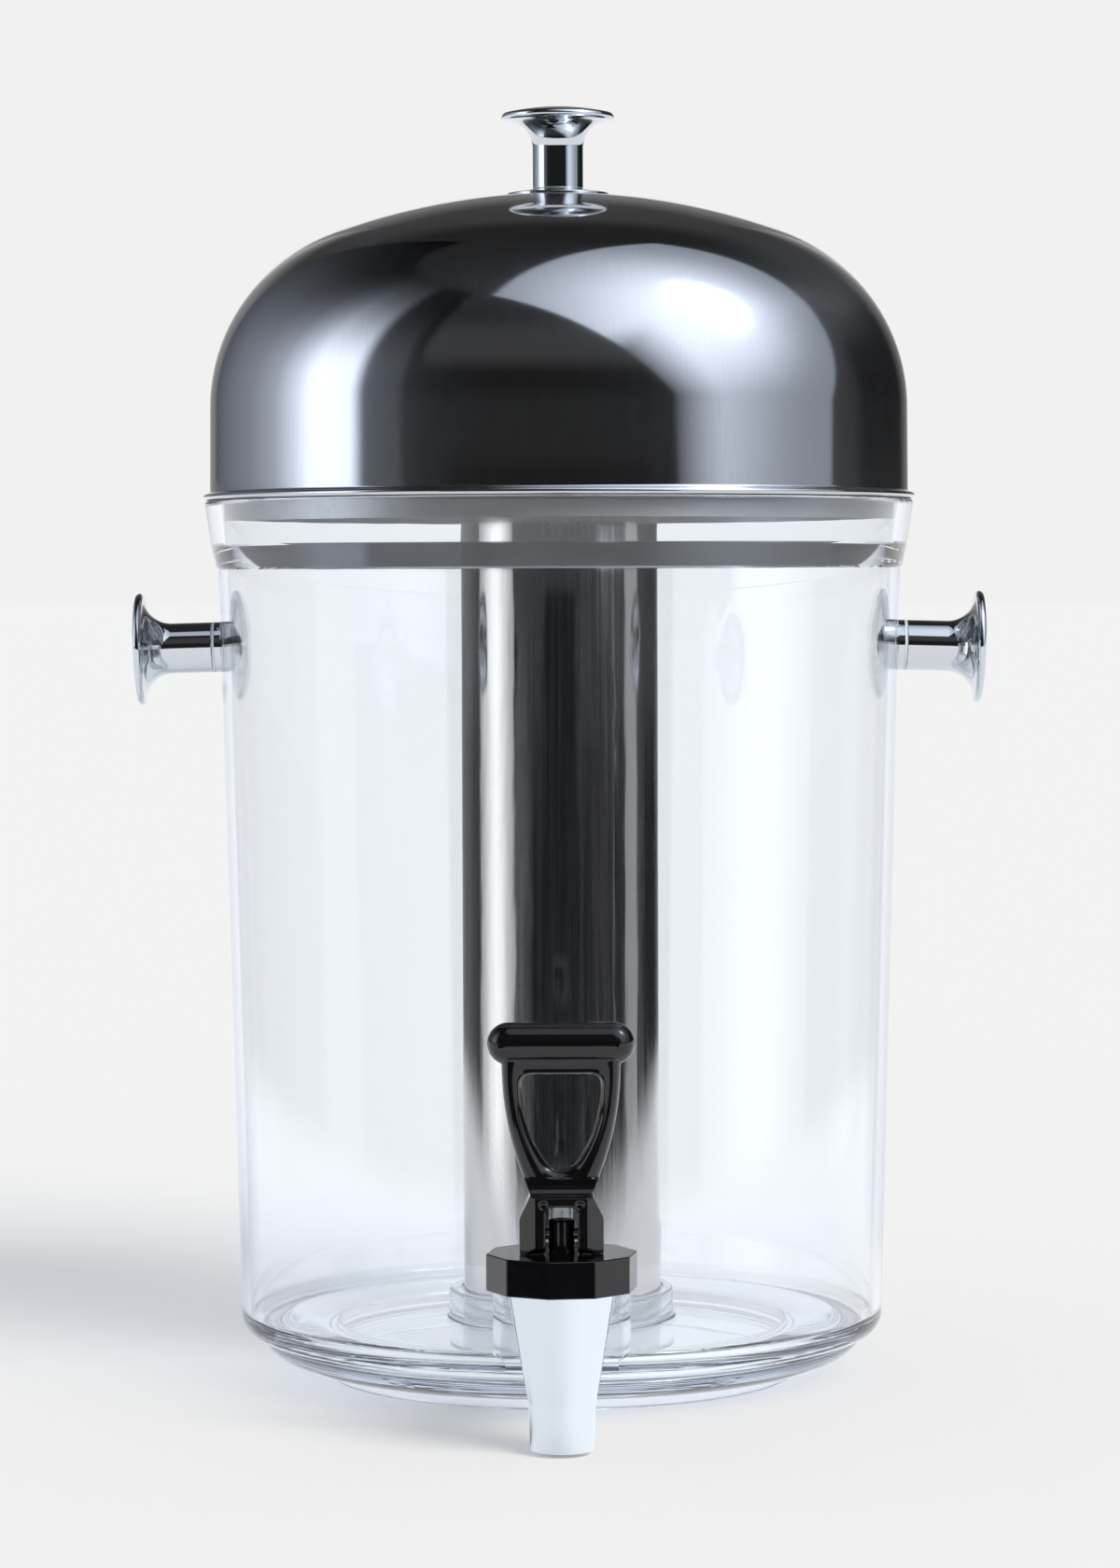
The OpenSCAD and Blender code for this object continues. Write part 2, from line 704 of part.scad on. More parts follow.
module cross_bar() {
  straight = bar_w - 2 * bar_r;
  translate([-straight / 2, 0, bar_rise]) rotate([0, 90, 0]) cylinder(r = bar_r, h = straight);
  for (side = [LEFT, RIGHT])
    translate([side * straight / 2, 0, bar_rise]) sphere(r = bar_r);
}

module tap_lever() {
  color("#101012") on_pin() difference() {
    union() {
      lever_blank();
      cross_bar();
    }
    through(fork_d + 2 * past) lever_window();
    through(fork_d + 2 * past) lever_slot();
    rotate([0, 90, 0]) cylinder(r = pin_r + run_gap, h = fork_w + 2 * past, center = true);
    for (side = [LEFT, RIGHT])
      translate([side * dimple_x, dimple_depth - fork_d / 2, dimple_z])
        rotate([90, 0, 0]) cylinder(r = dimple_r, h = dimple_depth + past);
  }
}

module lever_pin() {
  color("#a9acaf") on_pin() rotate([0, 90, 0]) cylinder(r = pin_r, h = pin_l, center = true);
}

module tap_stem() {
  color("#0c0c0d") on_spout() difference() {
    translate([0, 0, stem_z + seat_gap]) cylinder(r = stem_r, h = stem_top - stem_z - seat_gap);
    translate([0, 0, pin_z]) rotate([0, 90, 0])
      cylinder(r = pin_r + seat_gap, h = 2 * stem_r + 2 * past, center = true);
  }
}

module seat_cup() {
  hole = stem_r + seat_gap;
  neck = spring_r + wire_r;
  color("#e8e4da") on_spout() translate([0, 0, cup_z]) rotate_extrude() polygon([
    [0, 0], [cup_r - past, 0], [cup_r, past], [cup_r, cup_h - cup_r + neck - past], [neck, cup_h - past],
    [neck, cup_h], [hole, cup_h], [hole, cup_floor], [0, cup_floor]]);
}

// Centre line of the spring at turn t
function coil(t) =
  [spring_r * cos(360 * t), spring_r * sin(360 * t),
    spring_low + (spring_high - spring_low) * t / spring_turns];
function coil_ring(t) =
  [for (s = [0:spring_sides - 1]) let(a = 360 * s / spring_sides, out = [cos(360 * t), sin(360 * t), 0])
    coil(t) + wire_r * (cos(a) * out + sin(a) * [0, 0, 1])];

module stem_spring() {
  n = spring_turns * spring_rings;
  points = [for (i = [0:n]) each coil_ring(i / spring_rings)];
  sides = [for (i = [0:n - 1], s = [0:spring_sides - 1])
    let(a = i * spring_sides + s, b = i * spring_sides + (s + 1) % spring_sides)
    each [[a, b, b + spring_sides], [a, b + spring_sides, a + spring_sides]]];
  low_cap = [for (s = [1:spring_sides - 2]) [0, s + 1, s]];
  last = n * spring_sides;
  high_cap = [for (s = [1:spring_sides - 2]) [last, last + s, last + s + 1]];
  gap = min([for (i = [0:n - spring_rings])
    norm(coil(i / spring_rings + 1) - coil(i / spring_rings)) - 2 * wire_r]);
  echo(str("least gap between the spring's turns: ", gap, " mm"));
  color("#9a9da0") on_spout() polyhedron(points, concat(sides, low_cap, high_cap));
}

module shank_nut() {
  color("#e6e8ea") on_shank(nut_y - nut_t) difference() {
    cylinder(r = nut_r, h = nut_t, $fn = 6);
    translate([0, 0, -past]) cylinder(r = shank_r + seat_gap, h = nut_t + 2 * past);
  }
}

module outer_shank_gasket() {
  color("#f2f2ee") on_shank(boss_y + seat_gap) ring(flange_r, shank_r + seat_gap, shank_gasket_t);
}

module inner_shank_washer() {
  color("#f2f2ee") on_shank(pad_y - shank_washer_t - seat_gap)
    ring(nut_r, shank_r + seat_gap, shank_washer_t);
}

vessel();
base_ring();
tube_socket();
ice_tube();
ice_tube_base();
lid_dome();
lid_knob();
knob_rosette();
lid_screw();
lid_washer();
handle_knob(LEFT);  // left_handle_knob
handle_gasket(LEFT);  // left_handle_gasket
handle_spacer(LEFT);  // left_handle_spacer
handle_screw(LEFT);  // left_handle_screw
handle_knob(RIGHT);  // right_handle_knob
handle_gasket(RIGHT);  // right_handle_gasket
handle_spacer(RIGHT);  // right_handle_spacer
handle_screw(RIGHT);  // right_handle_screw
tap_body();
tap_bonnet();
tap_lever();
lever_pin();
tap_stem();
seat_cup();
stem_spring();
shank_nut();
outer_shank_gasket();
inner_shank_washer();
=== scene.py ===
"""Juice dispenser: looks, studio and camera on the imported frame. Metres, Z up, the tap faces -Y."""
import json
import math

import bmesh
import bpy
from mathutils import Matrix, Vector

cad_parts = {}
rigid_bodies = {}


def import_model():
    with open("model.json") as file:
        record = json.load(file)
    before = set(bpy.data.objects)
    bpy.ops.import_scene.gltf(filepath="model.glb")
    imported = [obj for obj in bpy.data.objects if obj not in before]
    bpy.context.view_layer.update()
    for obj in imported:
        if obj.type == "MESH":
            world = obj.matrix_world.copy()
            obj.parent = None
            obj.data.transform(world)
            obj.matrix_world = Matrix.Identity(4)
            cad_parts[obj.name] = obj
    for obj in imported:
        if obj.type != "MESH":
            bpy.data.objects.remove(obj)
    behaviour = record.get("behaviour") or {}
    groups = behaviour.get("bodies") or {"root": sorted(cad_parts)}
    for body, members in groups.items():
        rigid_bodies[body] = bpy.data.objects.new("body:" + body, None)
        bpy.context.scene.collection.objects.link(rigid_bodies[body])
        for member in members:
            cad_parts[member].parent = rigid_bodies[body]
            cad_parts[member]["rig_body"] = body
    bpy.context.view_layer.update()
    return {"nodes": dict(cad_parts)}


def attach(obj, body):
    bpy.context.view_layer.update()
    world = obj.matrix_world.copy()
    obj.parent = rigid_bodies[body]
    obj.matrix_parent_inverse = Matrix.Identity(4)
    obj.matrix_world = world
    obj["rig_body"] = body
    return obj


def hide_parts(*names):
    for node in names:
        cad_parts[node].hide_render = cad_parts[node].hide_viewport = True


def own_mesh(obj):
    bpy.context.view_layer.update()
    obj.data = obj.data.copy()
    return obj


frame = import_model()
scene = bpy.context.scene
MM = 0.001


# Sizes in millimetres and degrees; heights are above the table where nothing else is said

# Lid: dome, folded lip, skirt and the hole for the knob's screw
Z_LID = 289.2
LID_H, SIDE_H, SHOULDER, TAPER = 100.5, 30.0, 60.8, 0.4
SIDE_R, LIP_R, LIP_T, LIP_ROOT, SHEET = 115.0, 117.2, 2.2, 1.0, 1.0
SKIRT_R, SKIRT_H, HOLE = 110.235, 6.5, 2.8
LID_STEPS = 224
SIDE_LEAN = (SIDE_H - LIP_T) * math.tan(math.radians(TAPER))
SHOULDER_X = SIDE_R - SIDE_LEAN - SHOULDER / math.cos(math.radians(TAPER))
CROWN_H = LID_H - SIDE_H
CROWN_R = (SHOULDER_X ** 2 + CROWN_H ** 2 - SHOULDER ** 2) / (2 * (CROWN_H - SHOULDER))

# Rosette on the crown, and the gap that keeps seated faces apart
Z_APEX, SEAT_GAP = Z_LID + LID_H, 0.05
ROSETTE_R, ROSETTE_TOP_R, ROSETTE_H, ROSETTE_RIM = 16.75, 9.1, 1.5, 0.8
ROSETTE_ROUND, RIM_ROUND, SLOPE_R, SLOPE_RISE = 2.5, 0.35, 12.0, 0.4
Z_ROSETTE = Z_APEX + ROSETTE_H

# Knobs, and the place of the side handles on the drafted wall
KNOB_L, DISC_R, STEM_R, EDGE_R, KNOB_CROWN, KNOB_FOOT = 27.0, 18.5, 8.3, 1.3, 3.3, 0.4
HANDLE_Z, WALL_AT_HANDLE, DRAFT, KNOB_SEAT = 241.0, 111.842, 1.474, 2.7

# Clear body: floor, foot ring with its flare, and the socket of the ice tube
FLOOR_LOW, FLOOR_TOP, FLOOR_R = 14.0, 19.0, 99.23
FOOT_R, FOOT_IN_R, FOOT_STEP, FLARE_R = 77.5, 74.5, 4.0, 99.18
SOCKET_R, SOCKET_IN_R, SOCKET_TOP = 37.4, 33.0, 28.5
BODY_STEPS = 256

# Tap: axes, then the spout from its neck down to its tip and up its bore
SPOUT_Y, SHANK_Z, PIN_Z = 151.0205, 42.0, 66.55
NECK_R, NECK_TOP, SPOUT_R, SPOUT_Z = 15.4, 57.3, 16.6, 49.7
BEND_R, BEND_Z, BEND, TIP_R, TIP_Z = 10.2, 15.6, 14.0, 9.65, 1.0
BORE_R, BORE_TOP, CHAMBER_R, CHAMBER_LOW = 6.5, 30.0, 10.5, 36.0

# Shank, with lengths from the vessel's axis
SHANK_R, SHANK_BORE_R, SHANK_OUT, SHANK_IN = 8.0, 5.5, 139.5, 89.0
FLANGE_R, FLANGE_OUT, FLANGE_IN, FLANGE_EDGE = 13.0, 117.1, 114.1, 0.6
THREAD_R, THREAD_FROM, THREAD_PITCH, THREAD_TURNS = 7.3, 100.5, 1.5, 7

# Bonnet, stem and spring
BONNET_R, BONNET_IN_R, BONNET_HOLE_R = 23.0, 16.8, 4.3
BONNET_TOP, BONNET_ROOF, BONNET_LOW = 60.95, 57.5, 49.75
BONNET_SIDES, BONNET_TURN, BONNET_EDGE = 10, 8, 0.4
VALVE_R, VALVE_TOP, VALVE_LOW = 3.95, 70.95, 35.05
SPRING_LOW, SPRING_HIGH, SPRING_R, SPRING_TURNS, WIRE_R = 40.65, 56.85, 6.0, 6, 0.6

# Lever, with heights from the pin
BAR_W, BAR_R, BAR_RISE, LOOP_W, WAIST_W, WAIST, ARM_D = 44.4, 6.4, 57.4, 35.8, 18.6, 12.3, 9.0
WINDOW_W, WINDOW_LOW, WINDOW_HIGH, WINDOW_CORNER, WINDOW_ROUND = 24.0, 19.6, 48.1, 3.0, 6.0
LOOP_MIDDLE, ARM_SQUARE, FOOT_CUT, LEVER_VOXEL = 33.0, 2.1, 17.0, 0.3
WAIST_TUCK, WAIST_DROP = 1.0, 2.0

ON_SPOUT = Matrix.Translation((0, -SPOUT_Y, 0))
ON_PIN = Matrix.Translation((0, -SPOUT_Y, PIN_Z))


# Materials

# Width of a buffing line, where most of a noise lies, and the sockets of a Mix node that mixes colours
BUFFING_LINE = 0.5
NOISE_LOW, NOISE_HIGH = 0.3, 0.7
FIRST_COLOUR, SECOND_COLOUR, MIXED_COLOUR = 6, 7, 2


def srgb(code):
    """A hex colour as linear RGBA."""
    parts = [int(code[i:i + 2], 16) / 255 for i in (1, 3, 5)]
    return tuple(c / 12.92 if c <= 0.04045 else ((c + 0.055) / 1.055) ** 2.4 for c in parts) + (1.0,)


def add(tree, kind, inputs=None, **settings):
    """Adds a node: settings go on the node, inputs hold a value or another node's output for each socket."""
    made = tree.nodes.new(kind)
    for name, value in settings.items():
        setattr(made, name, value)
    for socket, value in (inputs or {}).items():
        if isinstance(value, bpy.types.NodeSocket):
            tree.links.new(value, made.inputs[socket])
        else:
            made.inputs[socket].default_value = value
    return made


def material(name, finish, within=None):
    """A material whose surface is what finish(tree) gives, and whose inside is what within(tree) gives."""
    made = bpy.data.materials.new(name)
    made.use_nodes = True
    tree = made.node_tree
    tree.nodes.clear()
    sockets = {"Surface": finish(tree)}
    if within:
        sockets["Volume"] = within(tree)
    add(tree, "ShaderNodeOutputMaterial", sockets)
    return made


def grained(tree, grain, smooth, rough):
    """A roughness that drifts from smooth to rough over grains this many millimetres wide.

    The real grains are too fine to show, so they are drawn coarser.
    """
    place = add(tree, "ShaderNodeTexCoord").outputs["Object"]
    drift = add(tree, "ShaderNodeTexNoise", {
        "Vector": place, "Scale": 1 / (grain * MM), "Detail": 2.0}).outputs["Fac"]
    return add(tree, "ShaderNodeMapRange", {
        "Value": drift, "From Min": NOISE_LOW, "From Max": NOISE_HIGH,
        "To Min": smooth, "To Max": rough}).outputs["Result"]


def moulded_polycarbonate(tree):
    # Injection-moulded clear polycarbonate: sharp see-through walls, a painted blue-grey shade in the base
    # colour where the upright wall is seen edge-on, and a flow of the melt that waves the highlights every
    # 60 mm or so. Light on its way to other things passes it plainly, so that it throws no bright rings on
    # the table.
    place = add(tree, "ShaderNodeTexCoord").outputs["Object"]
    stretched = add(tree, "ShaderNodeMapping", {"Vector": place, "Scale": (1.0, 1.0, 0.18)}).outputs["Vector"]
    flow = add(tree, "ShaderNodeTexNoise", {
        "Vector": stretched, "Scale": 1 / (62.5 * MM), "Detail": 1.0}).outputs["Fac"]
    wave = add(tree, "ShaderNodeBump", {
        "Height": flow, "Strength": 0.05, "Distance": 2 * MM}).outputs["Normal"]
    # Painted shade: the base colour turns blue-grey where the upright wall is seen edge-on, fading in above
    # the foot.
    edge_on = add(tree, "ShaderNodeLayerWeight", {"Blend": 0.5}).outputs["Facing"]
    rim = add(tree, "ShaderNodeMapRange", {
        "Value": edge_on, "From Min": 0.72, "From Max": 0.9}).outputs["Result"]
    height = add(tree, "ShaderNodeSeparateXYZ", {0: place}).outputs["Z"]
    above_foot = add(tree, "ShaderNodeMapRange", {
        "Value": height, "From Min": 25 * MM, "From Max": 50 * MM}).outputs["Result"]
    rim = add(tree, "ShaderNodeMath", {0: rim, 1: above_foot}, operation="MULTIPLY").outputs[0]
    painted_shade_tone = add(tree, "ShaderNodeMix", {
        0: rim, FIRST_COLOUR: srgb("#FBFDFF"), SECOND_COLOUR: srgb("#93A2B3")},
        data_type="RGBA").outputs[MIXED_COLOUR]
    clear = add(tree, "ShaderNodeBsdfPrincipled", {
        "Base Color": painted_shade_tone, "Roughness": 0.0, "IOR": 1.585, "Transmission Weight": 1.0,
        "Normal": wave}).outputs["BSDF"]
    plain = add(tree, "ShaderNodeBsdfTransparent", {"Color": srgb("#F8FAFD")}).outputs["BSDF"]
    path = add(tree, "ShaderNodeLightPath").outputs
    lighting = add(tree, "ShaderNodeMath", {
        0: path["Is Shadow Ray"], 1: path["Is Diffuse Ray"]}, operation="MAXIMUM").outputs[0]
    return add(tree, "ShaderNodeMixShader", {0: lighting, 1: clear, 2: plain}).outputs["Shader"]


def blue_depth(tree):
    # The blue toner of clear polycarbonate: hardly seen through a wall, a breath of blue where it is thick.
    return add(tree, "ShaderNodeVolumeAbsorption", {
        "Color": (0.55, 0.7, 0.92, 1.0), "Density": 3.5}).outputs["Volume"]


def spun_steel(tree):
    # Spun and buffed stainless sheet: a dark mirror under a haze of fine buffing lines that run up to the
    # crown and smear the lights sideways. The real lines are 0.05 mm; they are drawn 0.5 mm wide to show.
    place = add(tree, "ShaderNodeTexCoord").outputs["Object"]
    flat = add(tree, "ShaderNodeVectorMath", {0: place, 1: (1.0, 1.0, 0.0)}, operation="MULTIPLY").outputs[0]
    round_axis = add(tree, "ShaderNodeVectorMath", {0: flat}, operation="NORMALIZE").outputs[0]
    height = add(tree, "ShaderNodeVectorMath", {
        0: place, 1: (0.0, 0.0, 0.3)}, operation="MULTIPLY").outputs[0]
    line_at = add(tree, "ShaderNodeVectorMath", {0: round_axis, 1: height}).outputs[0]
    lines = add(tree, "ShaderNodeTexNoise", {
        "Vector": line_at, "Scale": SIDE_R / BUFFING_LINE, "Detail": 2.0}).outputs["Fac"]
    sideways = add(tree, "ShaderNodeTangent", direction_type="RADIAL", axis="Z").outputs["Tangent"]
    dent = add(tree, "ShaderNodeBump", {
        "Height": lines, "Strength": 0.012, "Distance": 0.05 * MM}).outputs["Normal"]
    mirror, haze = [add(tree, "ShaderNodeBsdfPrincipled", {
        "Base Color": srgb("#C9CBCE"), "Metallic": 1.0, "Roughness": rough, "Anisotropic": smear,
        "Tangent": sideways, "Normal": dent}).outputs["BSDF"] for rough, smear in ((0.07, 0.8), (0.3, 1.0))]
    share = add(tree, "ShaderNodeMapRange", {
        "Value": lines, "From Min": NOISE_LOW, "From Max": NOISE_HIGH,
        "To Min": 0.02, "To Max": 0.09}).outputs["Result"]
    from_axis = add(tree, "ShaderNodeVectorMath", {0: flat}, operation="LENGTH").outputs["Value"]
    crown = add(tree, "ShaderNodeMapRange", {
        "Value": from_axis, "From Min": 20 * MM, "From Max": 55 * MM, "To Min": 0.4, "To Max": 0.0},
        interpolation_type="SMOOTHSTEP").outputs["Result"]
    hazy = add(tree, "ShaderNodeMath", {0: share, 1: crown}, operation="MAXIMUM").outputs[0]
    return add(tree, "ShaderNodeMixShader", {0: hazy, 1: mirror, 2: haze}).outputs["Shader"]


def rolled_steel(tree):
    # Inside of the lid: cold-rolled sheet as it left the mill, an even pale grey that mirrors nothing sharp.
    return add(tree, "ShaderNodeBsdfPrincipled", {
        "Base Color": srgb("#C4C7CC"), "Metallic": 1.0,
        "Roughness": grained(tree, 10 / 9, 0.38, 0.5)}).outputs["BSDF"]


def drawn_steel(tree):
    # Drawn stainless tube: a mirror with straight drawing lines along its length, so that each light
    # becomes a long upright streak with a frayed edge. Lines of 0.1 mm are drawn about 0.6 mm wide and
    # 1.1 mm apart to show, on a wall that wavers every 8 mm or so.
    place = add(tree, "ShaderNodeTexCoord").outputs["Object"]
    lengthwise = add(tree, "ShaderNodeMapping", {
        "Vector": place, "Scale": (1.0, 1.0, 0.012)}).outputs["Vector"]
    lines = add(tree, "ShaderNodeTexNoise", {
        "Vector": lengthwise, "Scale": 1 / (10 / 9 * MM), "Detail": 3.0}).outputs["Fac"]
    wander = add(tree, "ShaderNodeMapping", {"Vector": place, "Scale": (1.0, 1.0, 0.16)}).outputs["Vector"]
    waves = add(tree, "ShaderNodeTexNoise", {
        "Vector": wander, "Scale": 1 / (100 / 13 * MM), "Detail": 2.0}).outputs["Fac"]
    wavy = add(tree, "ShaderNodeBump", {
        "Height": waves, "Strength": 0.45, "Distance": 0.35 * MM}).outputs["Normal"]
    dent = add(tree, "ShaderNodeBump", {
        "Height": lines, "Strength": 0.15, "Distance": 0.1 * MM, "Normal": wavy}).outputs["Normal"]
    rough = add(tree, "ShaderNodeMapRange", {
        "Value": lines, "From Min": NOISE_LOW, "From Max": NOISE_HIGH,
        "To Min": 0.04, "To Max": 0.14}).outputs["Result"]
    return add(tree, "ShaderNodeBsdfPrincipled", {
        "Base Color": srgb("#D6D5D4"), "Metallic": 1.0, "Roughness": rough, "Normal": dent}).outputs["BSDF"]


def chrome_plate(tree):
    # Bright chrome on turned brass: a clean, slightly blue mirror with a faint polishing swirl.
    return add(tree, "ShaderNodeBsdfPrincipled", {
        "Base Color": srgb("#D3D7DB"), "Metallic": 1.0,
        "Roughness": grained(tree, 2.5, 0.015, 0.045)}).outputs["BSDF"]


def turned_steel(tree):
    # Turned stainless screws, pin and spring wire: bright, with tool marks that soften what they mirror.
    return add(tree, "ShaderNodeBsdfPrincipled", {
        "Base Color": srgb("#C6C8CA"), "Metallic": 1.0,
        "Roughness": grained(tree, 2 / 3, 0.14, 0.26)}).outputs["BSDF"]


def satin_plate(tree):
    # Satin-plated spout: a pale blue-white metal whose soft finish turns the table into one even glow.
    return add(tree, "ShaderNodeBsdfPrincipled", {
        "Base Color": srgb("#EEF2F7"), "Metallic": 1.0,
        "Roughness": grained(tree, 0.4, 0.09, 0.16)}).outputs["BSDF"]


def polished_abs(tree):
    # Black ABS from a polished mould: deep black with sharp lights and a trace of orange peel, 4 mm wide.
    place = add(tree, "ShaderNodeTexCoord").outputs["Object"]
    peel = add(tree, "ShaderNodeTexNoise", {
        "Vector": place, "Scale": 1 / (4 * MM), "Detail": 1.0}).outputs["Fac"]
    skin = add(tree, "ShaderNodeBump", {
        "Height": peel, "Strength": 0.05, "Distance": 0.2 * MM}).outputs["Normal"]
    rough = add(tree, "ShaderNodeMapRange", {
        "Value": peel, "From Min": NOISE_LOW, "From Max": NOISE_HIGH,
        "To Min": 0.06, "To Max": 0.14}).outputs["Result"]
    return add(tree, "ShaderNodeBsdfPrincipled", {
        "Base Color": srgb("#0B0B0D"), "Roughness": rough, "IOR": 1.54, "Normal": skin}).outputs["BSDF"]


def moulded_silicone(tree, colour):
    # Moulded silicone: soft and milky, lit from within, with a dull bloom.
    return add(tree, "ShaderNodeBsdfPrincipled", {
        "Base Color": srgb(colour), "Roughness": grained(tree, 5 / 3, 0.35, 0.5), "IOR": 1.41,
        "Subsurface Weight": 0.3, "Subsurface Radius": (1.0, 1.0, 1.0),
        "Subsurface Scale": 1 * MM}).outputs["BSDF"]


def moulded_acetal(tree):
    # Moulded white acetal nut: an opaque off-white with a waxy, half-dull skin.
    return add(tree, "ShaderNodeBsdfPrincipled", {
        "Base Color": srgb("#EEEEEA"), "Roughness": grained(tree, 2, 0.28, 0.4), "IOR": 1.48}).outputs["BSDF"]


CLEAR = material("moulded_clear_polycarbonate", moulded_polycarbonate, blue_depth)
LID = material("spun_buffed_stainless_steel", spun_steel)
LID_INSIDE = material("cold_rolled_stainless_steel", rolled_steel)
TUBE = material("drawn_stainless_steel", drawn_steel)
CHROME = material("bright_chrome_plate", chrome_plate)
TURNED = material("turned_stainless_steel", turned_steel)
SATIN = material("satin_silver_plate", satin_plate)
BLACK = material("polished_black_abs", polished_abs)
CLEAR_SILICONE = material("moulded_clear_silicone", lambda tree: moulded_silicone(tree, "#E4E8EC"))
WHITE_SILICONE = material("moulded_white_silicone", lambda tree: moulded_silicone(tree, "#F0EFEA"))
WHITE = material("moulded_white_acetal", moulded_acetal)

FINISHES = {
    CLEAR: ["vessel", "base_ring", "tube_socket"],
    LID: ["lid_dome"],
    TUBE: ["ice_tube", "ice_tube_base"],
    CHROME: ["lid_knob", "knob_rosette", "left_handle_knob", "right_handle_knob",
             "left_handle_spacer", "right_handle_spacer"],
    TURNED: ["lid_screw", "left_handle_screw", "right_handle_screw", "lever_pin", "stem_spring"],
    SATIN: ["tap_body"],
    BLACK: ["tap_bonnet", "tap_lever", "tap_stem"],
    CLEAR_SILICONE: ["left_handle_gasket", "right_handle_gasket"],
    WHITE_SILICONE: ["lid_washer", "outer_shank_gasket", "inner_shank_washer", "seat_cup"],
    WHITE: ["shank_nut"],
}
for finish, names in FINISHES.items():
    for name in names:
        mesh = frame["nodes"][name].data
        mesh.materials.clear()
        mesh.materials.append(finish)


# Outlines and meshes, in millimetres

def evenly(low, high, count):
    """The ends and the points between them that part low to high into this many steps."""
    return [low + (high - low) * i / count for i in range(count + 1)]


def arc(x, z, r, start, end, count):
    """Points of an arc about (x, z) from start to end degrees."""
    turns = [math.radians(a) for a in evenly(start, end, count)]
    return [(x + r * math.cos(a), z + r * math.sin(a)) for a in turns]


def eased(corners, count=5, closed=False):
    """An outline of (radius, height, rounding) with each corner rounded."""
    made = []
    last = len(corners) - 1
    for i, (x, z, rounding) in enumerate(corners):
        here = Vector((x, z))
        if rounding == 0 or (not closed and i in (0, last)):
            made.append((x, z))
            continue
        before = Vector(corners[i - 1][:2]) - here
        after = Vector(corners[0 if i == last else i + 1][:2]) - here
        half = before.angle(after) / 2
        run = min(rounding / math.tan(half), 0.49 * before.length, 0.49 * after.length)
        radius = run * math.tan(half)
        before, after = before.normalized(), after.normalized()
        middle = here + (before + after).normalized() * (radius / math.sin(half))
        start = here + before * run - middle
        sweep = start.angle_signed(here + after * run - middle)
        made += [tuple(middle + Matrix.Rotation(-a, 2) @ start) for a in evenly(0, sweep, count)]
    return made


def turned(outline, closed=False, steps=160, start=0.0):
    """Sweeps an outline of (radius, height) round Z; the outside lies on the left of its run."""
    points, faces, rings = [], [], []
    turns = [start + 2 * math.pi * j / steps for j in range(steps)]
    for r, z in outline:
        first = len(points)
        if r < 1e-6:
            points.append(Vector((0, 0, z)))
            rings.append([first] * steps)
        else:
            points += [Vector((r * math.cos(a), r * math.sin(a), z)) for a in turns]
            rings.append(list(range(first, first + steps)))
    for low, high in zip(rings, rings[1:] + (rings[:1] if closed else [])):
        for j in range(steps):
            k = (j + 1) % steps
            face = list(dict.fromkeys([low[j], high[j], high[k], low[k]]))
            if len(face) > 2:
                faces.append(face)
    return points, faces


def wrapped(rings, sides, closed):
    """Faces of a tube of rings of points, run on from the last ring to the first where closed."""
    faces = []
    for i in range(rings if closed else rings - 1):
        k = (i + 1) % rings
        for s in range(sides):
            t = (s + 1) % sides
            faces.append([i * sides + s, k * sides + s, k * sides + t, i * sides + t])
    return faces


def together(*shapes):
    """Several (points, faces) as one."""
    points, faces = [], []
    for more_points, more_faces in shapes:
        base = len(points)
        points += more_points
        faces += [[i + base for i in face] for face in more_faces]
    return points, faces


def moved(shape, place):
    """A shape of (points, faces) put where a matrix says."""
    points, faces = shape
    return [place @ p for p in points], faces


def shaped(mesh, *modifiers):
    """The mesh after modifiers, each a (kind, settings)."""
    holder = bpy.data.objects.new("holder", mesh)
    scene.collection.objects.link(holder)
    for kind, settings in modifiers:
        modifier = holder.modifiers.new(kind, kind)
        for key, value in settings.items():
            setattr(modifier, key, value)
    done = bpy.data.meshes.new_from_object(holder.evaluated_get(bpy.context.evaluated_depsgraph_get()))
    bpy.data.objects.remove(holder)
    return done


def drawn(name, shape, sharp=30):
    """A mesh in metres, smooth except where faces meet at more than sharp degrees."""
    points, faces = shape
    mesh = bpy.data.meshes.new(name)
    mesh.from_pydata([tuple(p * MM) for p in points], [], faces)
    mesh.shade_smooth()
    mesh.set_sharp_from_angle(angle=math.radians(sharp))
    return shaped(mesh, ("WEIGHTED_NORMAL", {"keep_sharp": True}))


def fitted(name, mesh, finish, slot, *nodes):
    """A piece that stands for these nodes and rides where the first one does."""
    mesh.materials.clear()
    mesh.materials.append(finish)
    made = bpy.data.objects.new(name, mesh)
    scene.collection.objects.link(made)
    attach(made, frame["nodes"][nodes[0]]["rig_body"])
    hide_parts(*nodes)
    return made


# Lid

def dome(inset):
    """Half outline of the dome from its top hole to the foot of the shoulder, inset by the sheet."""
    meet = math.degrees(math.atan2(CROWN_R - CROWN_H, SHOULDER_X))
    top = math.degrees(math.acos(HOLE / (CROWN_R - inset)))
    z = Z_LID + SIDE_H
    return (arc(0, z + CROWN_H - CROWN_R, CROWN_R - inset, top, meet, 40)
            + arc(SHOULDER_X, z, SHOULDER - inset, meet, -TAPER, 56)[1:])


